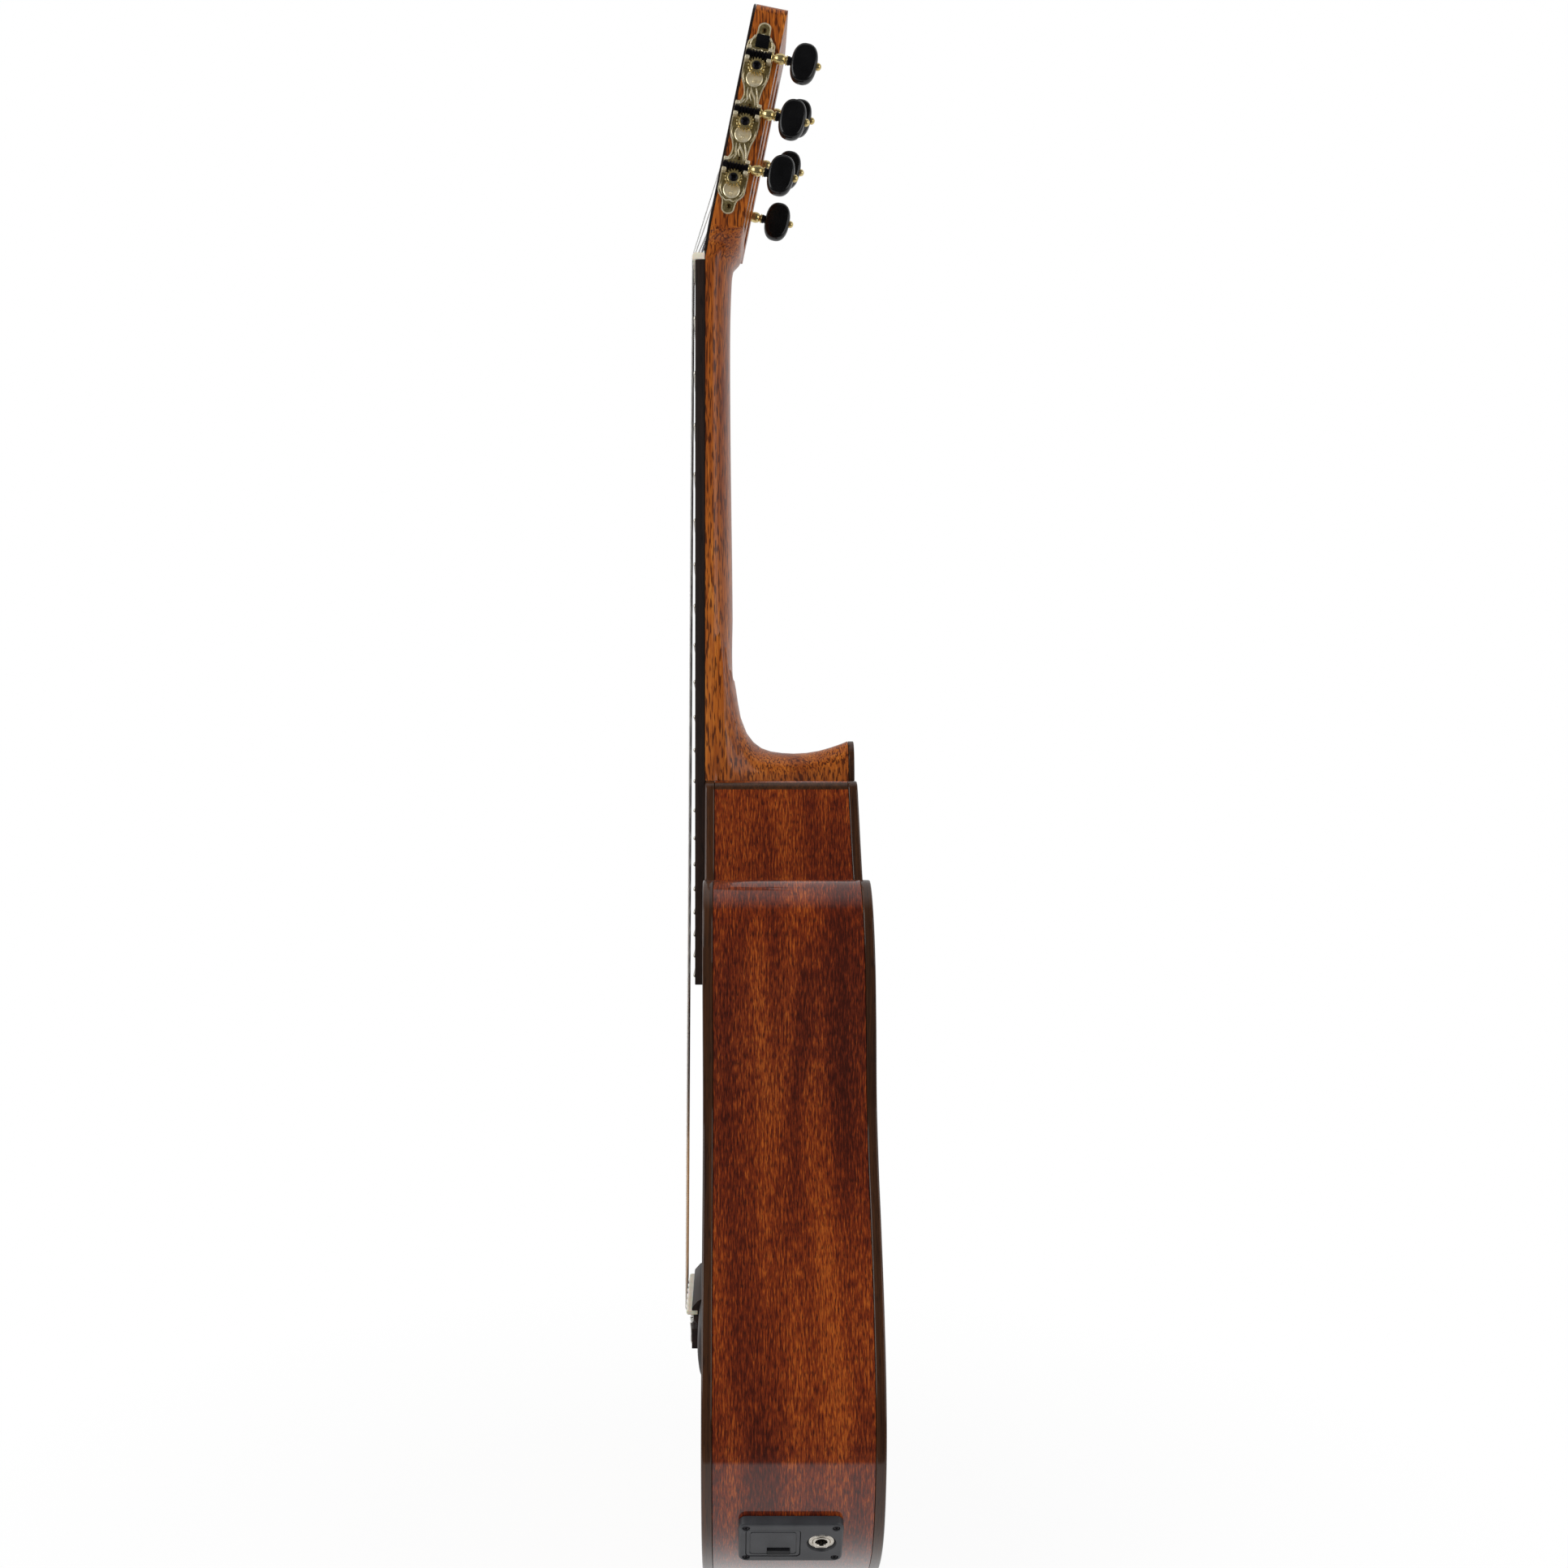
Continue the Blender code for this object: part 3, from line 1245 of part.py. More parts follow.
def make_drawer(frame):
    """Battery drawer, its door flush in the plate, with the battery and the finger latch."""
    deep = -FLOOR - GAP
    door_back = RECESS_FLOOR + GAP
    tray = box((WELL_LONG, WELL_HIGH, deep + 1.5), (DOOR_OFFSET, 0, (1.5 - deep) / 2), frame)
    drawer = new_object("battery_drawer", tray, "grey_plastic")
    outline = [(a + DOOR_OFFSET, b) for a, b in rounded(DOOR_ACROSS, DOOR_HIGH, DOOR_CORNER)]
    face = JACK_PLATE_PROUD - DOOR_SUNK
    door = prism(outline, door_back, face, lambda a, b, c: frame @ Vector((a, b, c)))
    combine(drawer, new_object("door_joint", door), "UNION")
    thick, wide, long = BATTERY
    rear = 1.8
    middle = -deep + rear + GAP + long / 2
    pocket = box(
        (wide + 2 * GAP, thick + 20.0, long + 2 * GAP),
        (DOOR_OFFSET, BATTERY_FLOOR + 10.0 + thick / 2 - WELL_HIGH / 2, middle), frame,
    )
    combine(drawer, new_object("battery_pocket", pocket))
    rest = BATTERY_FLOOR + GAP + thick / 2 - WELL_HIGH / 2
    battery = box((wide, thick, long), (DOOR_OFFSET, rest, middle), frame)
    new_object("battery_9v", battery, "black_plastic")
    latch_a = DOOR_OFFSET + LATCH_SHIFT
    latch_b = LATCH_FROM_EDGE - DOOR_HIGH / 2
    floor = JACK_PLATE_PROUD - LATCH_SEAT_DEPTH
    seat = box(
        (LATCH_LONG + 2 * GAP, LATCH_WIDE + 2 * GAP + LATCH_TRAVEL, 4.0),
        (latch_a, latch_b + LATCH_TRAVEL / 2, floor + 2.0), frame,
    )
    combine(drawer, new_object("latch_seat", seat))
    low, half = floor + GAP, LATCH_WIDE / 2
    top = low + LATCH_HIGH
    latch = [
        (-half, low), (-half, top - 0.6), (-0.6, top), (0.6, top - 0.8), (half, top - 0.4), (half, low),
    ]
    latch = prism(
        latch, -LATCH_LONG / 2, LATCH_LONG / 2,
        lambda b, c, a: frame @ Vector((latch_a + a, latch_b + b, c)),
    )
    new_object("drawer_latch", latch, "black_plastic")


def build():
    make_soundboard()
    make_back()
    sides = make_sides()
    make_end_strip(sides["side_treble"])
    make_linings()
    make_blocks()
    make_bracing()
    make_neck()
    make_fingerboard()
    make_nut()
    make_bridge()
    make_strings()
    make_tuners()
    frame = jack_frame()
    make_jack_plate(frame, sides)
    make_jack(frame)
    make_drawer(frame)
    print("jack plate centre", [round(v, 1) for v in frame.translation])


build()
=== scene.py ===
import math

import bmesh
import bpy
from mathutils import Matrix, Vector


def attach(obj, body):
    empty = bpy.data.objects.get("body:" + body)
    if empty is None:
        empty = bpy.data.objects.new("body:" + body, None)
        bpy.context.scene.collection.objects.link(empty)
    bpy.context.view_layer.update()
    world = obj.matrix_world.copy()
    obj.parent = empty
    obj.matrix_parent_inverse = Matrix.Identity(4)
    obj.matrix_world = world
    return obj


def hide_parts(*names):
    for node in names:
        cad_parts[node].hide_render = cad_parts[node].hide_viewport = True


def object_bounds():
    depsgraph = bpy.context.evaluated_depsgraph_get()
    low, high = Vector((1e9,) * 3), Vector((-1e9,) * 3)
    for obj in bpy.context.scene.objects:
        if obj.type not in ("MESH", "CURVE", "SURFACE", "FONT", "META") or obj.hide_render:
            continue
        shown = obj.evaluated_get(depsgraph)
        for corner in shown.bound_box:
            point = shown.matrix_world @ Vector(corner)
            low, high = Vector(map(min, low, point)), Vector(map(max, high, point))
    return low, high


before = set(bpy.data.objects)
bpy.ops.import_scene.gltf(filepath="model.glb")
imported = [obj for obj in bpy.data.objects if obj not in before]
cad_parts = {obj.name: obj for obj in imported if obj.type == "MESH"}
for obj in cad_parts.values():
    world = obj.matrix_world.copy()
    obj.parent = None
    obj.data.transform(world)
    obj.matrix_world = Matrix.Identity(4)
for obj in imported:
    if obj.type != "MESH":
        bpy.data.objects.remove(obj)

# Acoustic-electric classical guitar, upright, seen from its treble side.
# Sizes are millimetres; every mesh is brought to metres when its piece is finished.
# +Z runs up the neck, -X is the soundboard, -Y the treble side; depth d is mm below the nut.
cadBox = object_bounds()
mm = 0.001

scaleLength = 650.0
headTilt = math.radians(11.7)
headUp = Vector((math.sin(headTilt), 0, math.cos(headTilt)))  # along the head
headBack = Vector((math.cos(headTilt), 0, -math.sin(headTilt)))  # through the head
headFoot = Vector((-2.0, 0, 0))


# sRGB hex to linear RGBA
def hexColour(code):
    parts = [int(code[i : i + 2], 16) / 255 for i in (1, 3, 5)]
    return tuple(p / 12.92 if p < 0.04045 else ((p + 0.055) / 1.055) ** 2.4 for p in parts) + (1.0,)


# a shader node with its settings; an input is a value, or a socket to link from
def addNode(tree, kind, inputs=None, **settings):
    node = tree.nodes.new("ShaderNode" + kind)
    for key, value in settings.items():
        setattr(node, key, value)
    for key, value in (inputs or {}).items():
        if isinstance(value, bpy.types.NodeSocket):
            tree.links.new(value, node.inputs[key])
        else:
            node.inputs[key].default_value = value
    return node


# a material with its Principled shader, whose plain numbers are set on its own sockets
def newMaterial(name, **shaderValues):
    material = bpy.data.materials.new(name)
    material.use_nodes = True
    shader = material.node_tree.nodes["Principled BSDF"]
    for key, value in shaderValues.items():
        shader.inputs[key.replace("_", " ")].default_value = value
    return material, material.node_tree, shader


# colours at places of a factor, from (place, hex) stops
def colourRamp(tree, factor, stops):
    ramp = addNode(tree, "ValToRGB", {"Fac": factor})
    while len(ramp.color_ramp.elements) < len(stops):
        ramp.color_ramp.elements.new(0.5)
    for element, (place, code) in zip(ramp.color_ramp.elements, stops):
        element.position = place
        element.color = hexColour(code)
    return ramp.outputs["Color"]


# Materials

# lacquered or bare wood: broad figure, fine grain lines and dark pores, drawn out along the grain
def woodMaterial(name, look, coordinates, grain):
    material, tree, shader = newMaterial(
        name, Roughness=look["roughness"], Coat_Weight=look["coat"], Coat_Roughness=look["coatRoughness"],
        Specular_IOR_Level=look["specular"],
    )
    coords = addNode(tree, "TexCoord").outputs[coordinates]
    def stretched(along, across):
        scale = [along if axis else across for axis in grain]
        return addNode(tree, "Mapping", {"Vector": coords, "Scale": scale}).outputs["Vector"]
    figure = addNode(tree, "TexNoise", {
        "Vector": stretched(*look["figure"]), "Scale": 1.0, "Detail": 2.0, "Distortion": 0.4})
    lines = addNode(tree, "TexNoise", {
        "Vector": stretched(*look["lines"]), "Scale": 1.0, "Detail": 3.0, "Roughness": 0.6})
    share = addNode(tree, "Mix", {
        "Factor": look["lineShare"], "A": figure.outputs["Fac"], "B": lines.outputs["Fac"]})
    colour = colourRamp(tree, share.outputs["Result"], look["colours"])
    pores = addNode(tree, "TexNoise", {
        "Vector": stretched(*look["pores"]), "Scale": 1.0, "Detail": 1.0})
    low, high = look["poreRange"]
    dark = addNode(tree, "MapRange", {
        "Value": pores.outputs["Fac"], "From Min": low, "From Max": high,
        "To Min": 0.0, "To Max": look["poreDark"]})
    mixed = addNode(tree, "Mix", {
        "Factor": dark.outputs["Result"], "A": colour, "B": hexColour(look["poreColour"])}, data_type="RGBA")
    tree.links.new(mixed.outputs["Result"], shader.inputs["Base Color"])
    if look["bump"]:
        bump = addNode(tree, "Bump", {
            "Height": lines.outputs["Fac"], "Strength": look["bump"], "Distance": 0.0002})
        tree.links.new(bump.outputs["Normal"], shader.inputs["Normal"])
    return material


# (along, across) are features per metre, so 40 across is a band of about 25 mm
sideLook = {
    "roughness": 0.42, "coat": 1.0, "coatRoughness": 0.035, "specular": 0.2,
    "figure": (5.0, 45.0), "lines": (130.0, 1050.0), "lineShare": 0.6,
    "colours": ((0.39, "#451102"), (0.47, "#672003"), (0.54, "#883506"), (0.62, "#b05615")),
    "pores": (240.0, 1900.0), "poreRange": (0.52, 0.64), "poreDark": 0.75, "poreColour": "#300b02",
    "bump": 0.0,
}
neckLook = {
    "roughness": 0.42, "coat": 0.35, "coatRoughness": 0.12, "specular": 0.2,
    "figure": (6.0, 60.0), "lines": (40.0, 800.0), "lineShare": 0.5,
    "colours": ((0.34, "#6e2c06"), (0.45, "#964a12"), (0.55, "#b4611a"), (0.66, "#cf7e30")),
    "pores": (110.0, 1100.0), "poreRange": (0.52, 0.60), "poreDark": 0.85, "poreColour": "#3f1504",
    "bump": 0.15,
}
bindingLook = {
    "roughness": 0.42, "coat": 0.7, "coatRoughness": 0.05, "specular": 0.2,
    "figure": (6.0, 160.0), "lines": (14.0, 900.0), "lineShare": 0.5,
    "colours": ((0.30, "#26120a"), (0.50, "#3e2310"), (0.70, "#553016")),
    "pores": (90.0, 1400.0), "poreRange": (0.58, 0.68), "poreDark": 0.6, "poreColour": "#180a05",
    "bump": 0.0,
}
ebonyLook = {
    "roughness": 0.50, "coat": 0.0, "coatRoughness": 0.3, "specular": 0.28,
    "figure": (6.0, 140.0), "lines": (16.0, 900.0), "lineShare": 0.5,
    "colours": ((0.30, "#17100d"), (0.50, "#241712"), (0.72, "#33221a")),
    "pores": (100.0, 1500.0), "poreRange": (0.58, 0.68), "poreDark": 0.6, "poreColour": "#0c0705",
    "bump": 0.25,
}
spruceLook = {
    "roughness": 0.40, "coat": 1.0, "coatRoughness": 0.05, "specular": 0.3,
    "figure": (2.0, 60.0), "lines": (3.0, 700.0), "lineShare": 0.65,
    "colours": ((0.32, "#b8783a"), (0.48, "#cf9653"), (0.60, "#dba968"), (0.75, "#e6ba7c")),
    "pores": (40.0, 1400.0), "poreRange": (0.62, 0.72), "poreDark": 0.25, "poreColour": "#9a5f2a",
    "bump": 0.0,
}
innerSpruceLook = dict(spruceLook, coat=0.0, roughness=0.6, bump=0.2)
cedarLook = dict(
    neckLook, coat=0.0, roughness=0.65,
    colours=((0.30, "#8a5a34"), (0.50, "#a06c42"), (0.70, "#b57f52")),
)

alongZ, alongY, alongU = (0, 0, 1), (0, 1, 0), (1, 0, 0)
# mahogany sides under high-gloss polyester: clear reflections over vertical streaks
sideWood = woodMaterial("glossMahoganySide", sideLook, "UV", alongU)
backWood = woodMaterial("glossMahoganyBack", sideLook, "Object", alongZ)
# mahogany neck in thin satin lacquer: softer shine, open pores as dark flecks
neckWood = woodMaterial("satinMahoganyNeck", neckLook, "Object", alongZ)
# polished rosewood edge strips, bent round the body
bindingWood = woodMaterial("rosewoodBinding", bindingLook, "UV", alongU)
trimWood = woodMaterial("polishedRosewoodTrim", bindingLook, "Object", alongZ)
# black-brown head veneer under gloss
veneerLook = dict(ebonyLook, coat=1.0, coatRoughness=0.05, bump=0.0)
veneerWood = woodMaterial("glossDarkVeneer", veneerLook, "Object", alongZ)
# oiled dark fingerboard timber, unlacquered, with fine open grain
boardWood = woodMaterial("oiledFingerboardWood", ebonyLook, "Object", alongZ)
bridgeWood = woodMaterial("oiledBridgeWood", ebonyLook, "Object", alongY)
# spruce top under clear gloss: fine straight lines along the strings
topWood = woodMaterial("glossSpruceTop", spruceLook, "Object", alongZ)
# bare spruce and cedar inside the body: dry and matt
braceWood = woodMaterial("bareSpruceBrace", innerSpruceLook, "Object", alongZ)
liningWood = woodMaterial("bareCedarLining", cedarLook, "Object", alongZ)


# metal with small differences of tone and roughness, and a fine surface from its making
def metalMaterial(name, colours, roughness, scale, bump, metallic=1.0):
    spread = 0.08  # between the smoothest and the roughest spots
    material, tree, shader = newMaterial(name, Metallic=metallic)
    coords = addNode(tree, "TexCoord").outputs["Object"]
    cloud = addNode(tree, "TexNoise", {"Vector": coords, "Scale": scale, "Detail": 4.0})
    tree.links.new(colourRamp(tree, cloud.outputs["Fac"], colours), shader.inputs["Base Color"])
    worn = addNode(tree, "MapRange", {
        "Value": cloud.outputs["Fac"], "From Min": 0.3, "From Max": 0.7,
        "To Min": roughness - spread / 2, "To Max": roughness + spread / 2})
    tree.links.new(worn.outputs["Result"], shader.inputs["Roughness"])
    fine = addNode(tree, "TexNoise", {"Vector": coords, "Scale": scale * 5, "Detail": 2.0})
    grit = addNode(tree, "Bump", {"Height": fine.outputs["Fac"], "Strength": bump, "Distance": 0.0001})
    tree.links.new(grit.outputs["Normal"], shader.inputs["Normal"])
    return material


# champagne-gold plating on a pressed brass plate, and for its sunken field a darker, rougher copy: soft sheen
# in its hollows, their darker gold painted shade
plateGold = metalMaterial(
    "champagneGoldPlating", ((0.3, "#e2d0a6"), (0.7, "#fbf2d6")), 0.24, 300.0, 0.2, metallic=0.55)
plateHollow = metalMaterial(
    "goldHollowPaintedShade", ((0.3, "#8c7a4c"), (0.7, "#c4b27e")), 0.42, 900.0, 0.4, metallic=0.85)
# gold-plated turned brass: bright and smooth
polishedGold = metalMaterial(
    "goldPlatedBrass", ((0.3, "#d6bb78"), (0.7, "#f0dda4")), 0.22, 300.0, 0.05, metallic=0.85)
# brass screws gone dark: brown and dull
agedScrew = metalMaterial("agedBrassScrew", ((0.3, "#4a3a22"), (0.7, "#7a6238")), 0.38, 700.0, 0.2)
# steel with a black oxide finish: near black, with a soft metal sheen
blackSteel = metalMaterial(
    "blackOxideSteel", ((0.3, "#18161a"), (0.7, "#2a272c")), 0.32, 500.0, 0.15, metallic=0.8)
# nickel-silver fret wire and nickel-plated brass: pale, a little warm
nickelSilver = metalMaterial("nickelSilver", ((0.3, "#c9c3b8"), (0.7, "#e6e1d8")), 0.20, 400.0, 0.08)
nickelPlate = metalMaterial("nickelPlating", ((0.3, "#c6bfb4"), (0.7, "#e4ddd2")), 0.24, 400.0, 0.08)


# moulded or cast resin: a slight cloud of tone and a moulded texture at its real scale
def mouldedMaterial(name, colours, roughness, scale, bump, **shaderValues):
    material, tree, shader = newMaterial(name, Roughness=roughness, **shaderValues)
    coords = addNode(tree, "TexCoord").outputs["Object"]
    patches = 90.0  # per metre: about 11 mm each
    cloud = addNode(tree, "TexNoise", {"Vector": coords, "Scale": patches, "Detail": 3.0})
    tree.links.new(colourRamp(tree, cloud.outputs["Fac"], colours), shader.inputs["Base Color"])
    fine = addNode(tree, "TexNoise", {"Vector": coords, "Scale": scale, "Detail": 2.0})
    grit = addNode(tree, "Bump", {"Height": fine.outputs["Fac"], "Strength": bump, "Distance": 0.0001})
    tree.links.new(grit.outputs["Normal"], shader.inputs["Normal"])
    return material


# cast cream resin in place of bone: slightly translucent, faint polish
boneResin = mouldedMaterial(
    "creamBoneResin", ((0.35, "#e6dfcc"), (0.65, "#f1ebdc")), 0.34, 900.0, 0.1,
    Subsurface_Weight=0.25, Subsurface_Scale=0.002)
# polished acrylic tuner buttons: deep black with clear highlights
buttonBlack = mouldedMaterial("blackAcrylicButton", ((0.35, "#0b0b0c"), (0.65, "#121213")), 0.22, 400.0, 0.01)
# fired black enamel on the plates: black and glassy
blackEnamel = mouldedMaterial("blackEnamel", ((0.35, "#0b0b0c"), (0.65, "#131314")), 0.2, 600.0, 0.02)
# injection-moulded ABS with a fine spark-eroded grain, 0.4 mm, that breaks its highlights
greyAbs = mouldedMaterial("greyGrainedAbs", ((0.35, "#303135"), (0.65, "#3a3b3f")), 0.46, 2500.0, 0.35)
blackAbs = mouldedMaterial("blackGrainedAbs", ((0.35, "#17171a"), (0.65, "#222225")), 0.42, 2500.0, 0.3)
# shrink sleeve on the battery: thin and half gloss
batterySleeve = mouldedMaterial("batterySleeve", ((0.35, "#1a1a1d"), (0.65, "#26262a")), 0.30, 300.0, 0.05)
# solder resist over glass-fibre board, woven texture 0.6 mm
circuitBoard = mouldedMaterial("circuitResist", ((0.35, "#0f3d22"), (0.65, "#1a5530")), 0.35, 1600.0, 0.2)
# clear nylon, as a thin string looks against the dark board: milky white, little light passes through; the
# white is partly the nylon's own milkiness and partly painted reflection of the bright surroundings
clearNylon = mouldedMaterial(
    "clearNylon", ((0.35, "#f6f6f3"), (0.65, "#fdfdfb")), 0.35, 500.0, 0.02,
    Transmission_Weight=0.15, IOR=1.53)
# white braided ends of the strings at the bridge: dry and rough
braidedEnd = mouldedMaterial("braidedNylonEnd", ((0.35, "#d9d7d0"), (0.65, "#f2f0ea")), 0.45, 2500.0, 0.5)


# silver-plated copper wire wound on nylon: fine pale ribs with painted shade in the grooves between them,
# drawn wider than the real 0.2 mm to show
def woundMaterial():
    material, tree, shader = newMaterial("silverWoundString", Metallic=1.0, Roughness=0.42)
    coords = addNode(tree, "TexCoord").outputs["Object"]
    coils = addNode(
        tree, "TexWave", {"Vector": coords, "Scale": 230.0}, wave_type="BANDS", bands_direction="Z")
    # the colour follows the ribs' height: darker in the grooves between the coils, painted shade
    colour = colourRamp(tree, coils.outputs["Fac"], ((0.0, "#8d8d92"), (1.0, "#dcdce0")))
    tree.links.new(colour, shader.inputs["Base Color"])
    bump = addNode(tree, "Bump", {"Height": coils.outputs["Fac"], "Strength": 0.6, "Distance": 0.0002})
    tree.links.new(bump.outputs["Normal"], shader.inputs["Normal"])
    return material


woundSilver = woundMaterial()
print("materials made")


# Finishing a piece

# turns a bmesh in millimetres into a piece that rides on a CAD body
def finishPiece(name, bm, materials, body="root", replaces=(), angle=40.0, merge=0.001):
    if merge:
        bmesh.ops.remove_doubles(bm, verts=bm.verts, dist=merge)
    bmesh.ops.recalc_face_normals(bm, faces=bm.faces)
    bmesh.ops.scale(bm, vec=(mm, mm, mm), verts=bm.verts)
    mesh = bpy.data.meshes.new(name)
    bm.to_mesh(mesh)
    bm.free()
    piece = bpy.data.objects.new(name, mesh)
    bpy.context.scene.collection.objects.link(piece)
    for material in materials if isinstance(materials, (list, tuple)) else [materials]:
        mesh.materials.append(material)
    mesh.shade_smooth()
    mesh.set_sharp_from_angle(angle=math.radians(angle))
    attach(piece, body)
    if replaces:
        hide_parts(*([replaces] if isinstance(replaces, str) else replaces))
    return piece


# cuts a bmesh in millimetres out of a piece, or joins it, and applies the result
def cutPiece(piece, cutter, operation="DIFFERENCE", angle=40.0):
    bmesh.ops.recalc_face_normals(cutter, faces=cutter.faces)
    bmesh.ops.scale(cutter, vec=(mm, mm, mm), verts=cutter.verts)
    mesh = bpy.data.meshes.new("cutter")
    cutter.to_mesh(mesh)
    cutter.free()
    tool = bpy.data.objects.new("cutter", mesh)
    bpy.context.scene.collection.objects.link(tool)
    step = piece.modifiers.new("cut", "BOOLEAN")
    step.operation = operation
    step.solver = "EXACT"
    step.object = tool
    graph = bpy.context.evaluated_depsgraph_get()
    made = bpy.data.meshes.new_from_object(piece.evaluated_get(graph))
    piece.modifiers.remove(step)
    old = piece.data
    made.name = old.name
    piece.data = made
    bpy.data.meshes.remove(old)
    bpy.data.objects.remove(tool)
    bpy.data.meshes.remove(mesh)
    made.set_sharp_from_angle(angle=math.radians(angle))


def polar(radius, angle):
    return radius * math.cos(angle), radius * math.sin(angle)


# a closed loop of edges through points
def addRing(bm, points):
    verts = [bm.verts.new(p) for p in points]
    return [bm.edges.new((a, b)) for a, b in zip(verts, verts[1:] + verts[:1])]


# bridges loops of points one to the next, and closes the two ends
def bridgeRings(rings, capped=True):
    bm = bmesh.new()
    loops = [addRing(bm, ring) for ring in rings]
    for near, far in zip(loops, loops[1:]):
        bmesh.ops.bridge_loops(bm, edges=near + far)
    if capped:
        for loop in (loops[0], loops[-1]):
            bmesh.ops.contextual_create(bm, geom=loop)
    return bm


# joins another bmesh's faces into the first, moved by a matrix, and frees the other
def addCopy(bm, other, matrix=None):
    if matrix:
        bmesh.ops.transform(other, matrix=matrix, verts=other.verts)
    mesh = bpy.data.meshes.new("shape")
    other.to_mesh(mesh)
    other.free()
    bm.from_mesh(mesh)
    bpy.data.meshes.remove(mesh)
    return bm


def placed(shape, matrix):
    return addCopy(bmesh.new(), shape, matrix)


def edgesBeyond(bm, angle):
    return [e for e in bm.edges if len(e.link_faces) == 2 and e.calc_face_angle(0) > math.radians(angle)]


# rounds the given edges, or every edge sharper than the angle
def rounded(bm, radius, segments, edges=None, angle=30.0, clamped=True):
    if edges is None:
        edges = edgesBeyond(bm, angle)
    bmesh.ops.bevel(
        bm, geom=edges, offset=radius, segments=segments, profile=0.5, affect="EDGES", material=-1,
        clamp_overlap=clamped)
    return bm


# hands a finished piece's mesh, in metres, to a function that changes it
def reshapePiece(piece, change):
    bm = bmesh.new()
    bm.from_mesh(piece.data)
    change(bm)
    bm.to_mesh(piece.data)
    bm.free()


def boxShape(size, centre=(0, 0, 0), radius=0.0, segments=2):
    bm = bmesh.new()
    bmesh.ops.create_cube(bm, size=1.0)
    bmesh.ops.scale(bm, vec=size, verts=bm.verts)
    if radius:
        rounded(bm, radius, segments)
    bmesh.ops.translate(bm, vec=centre, verts=bm.verts)
    return bm


# a cylinder on the Z axis between two heights
def rodShape(radius, low, high, sides):
    bm = bmesh.new()
    bmesh.ops.create_cone(
        bm, cap_ends=True, segments=sides, radius1=radius, radius2=radius, depth=high - low)
    bmesh.ops.translate(bm, vec=(0, 0, (low + high) / 2), verts=bm.verts)
    return bm


# spins a profile of (radius, height) points about the Z axis; its ends lie on the axis or are closed
def turnedShape(profile, sides):
    bm = bmesh.new()
    verts = [bm.verts.new((radius, 0, height)) for radius, height in profile]
    edges = [bm.edges.new(pair) for pair in zip(verts, verts[1:])]
    bmesh.ops.spin(
        bm, geom=verts + edges, cent=(0, 0, 0), axis=(0, 0, 1), angle=math.tau, steps=sides, use_merge=True)
    bmesh.ops.remove_doubles(bm, verts=bm.verts, dist=0.001)
    bmesh.ops.holes_fill(bm, edges=[e for e in bm.edges if e.is_boundary], sides=0)
    return bm


# extrudes a flat outline of (a, b) points from low to high; place(a, b, c) gives the point
def extrudedShape(outline, low, high, place):
    bm = bmesh.new()
    face = bmesh.ops.contextual_create(bm, geom=addRing(bm, [place(a, b, low) for a, b in outline]))["faces"]
    moved = bmesh.ops.extrude_face_region(bm, geom=face)["geom"]
    step = place(0, 0, high) - place(0, 0, low)
    bmesh.ops.translate(bm, vec=step, verts=[v for v in moved if isinstance(v, bmesh.types.BMVert)])
    return bm


# a smooth curve through points, each span in a few steps that follow its length
def smoothPath(points, steps, closed=False):
    points = [Vector(p) for p in points]
    ends = (points[-1], points[0], points[1]) if closed else (
        2 * points[0] - points[1], 2 * points[-1] - points[-2])
    padded = [ends[0], *points, *ends[1:]]
    curve = []
    for four in zip(padded, padded[1:], padded[2:], padded[3:]):
        knots = [0.0]
        for near, far in zip(four, four[1:]):
            knots.append(knots[-1] + math.sqrt((far - near).length))
        for step in range(steps):
            t = knots[1] + (knots[2] - knots[1]) * step / steps
            row = list(four)
            for span in (1, 2):
                row = [row[k].lerp(row[k + 1], (t - knots[k]) / (knots[k + span] - knots[k]))
                       for k in range(len(row) - 1)]
            curve.append(row[0].lerp(row[1], (t - knots[1]) / (knots[2] - knots[1])))
    return curve if closed else curve + [points[-1]]


# a round tube along points
def tubeShape(points, radius, sides):
    along = (points[1] - points[0]).normalized()
    across = along.orthogonal().normalized()
    rings = []
    for i, point in enumerate(points):
        way = (points[min(i + 1, len(points) - 1)] - points[max(i - 1, 0)]).normalized()
        across = (along.rotation_difference(way) @ across).normalized()
        along = way
        over = along.cross(across)
        circle = [polar(1.0, math.tau * k / sides) for k in range(sides)]
        rings.append([point + radius * (across * a + over * b) for a, b in circle])
    return bridgeRings(rings)


def circleRing(radius, height, sides=24):
    return [Vector((*polar(radius, math.tau * k / sides), height)) for k in range(sides)]


# the outline of a cross recess, its arms narrowing with the depth
def crossRing(reach, half, height):
    ring = []
    for quarter in range(4):
        turn = Matrix.Rotation(math.radians(90 * quarter), 3, "Z")
        arm = (reach, -half, height), (reach, half, height), (half, half, height)
        ring += [turn @ Vector(p) for p in arm]
    return ring


# a domed screw head with a cross recess, standing on z = 0
def screwShape(radius, tall):
    reach, half = 0.55 * radius, 0.14 * radius
    return bridgeRings([
        crossRing(0.6 * reach, 0.6 * half, 0.2 * tall), crossRing(reach, half, 0.97 * tall),
        circleRing(0.72 * radius, 0.86 * tall), circleRing(0.92 * radius, 0.55 * tall),
        circleRing(radius, 0.2 * tall), circleRing(radius, 0.0)])


def axesAt(origin, xAxis, yAxis, zAxis):
    matrix = Matrix((xAxis, yAxis, zAxis)).transposed().to_4x4()
    matrix.translation = origin
    return matrix


# a point of the head: up from its foot, across, and back from its face
def onHead(up, y, back):
    return headFoot + headUp * up + Vector((0, y, 0)) + headBack * back


# Body

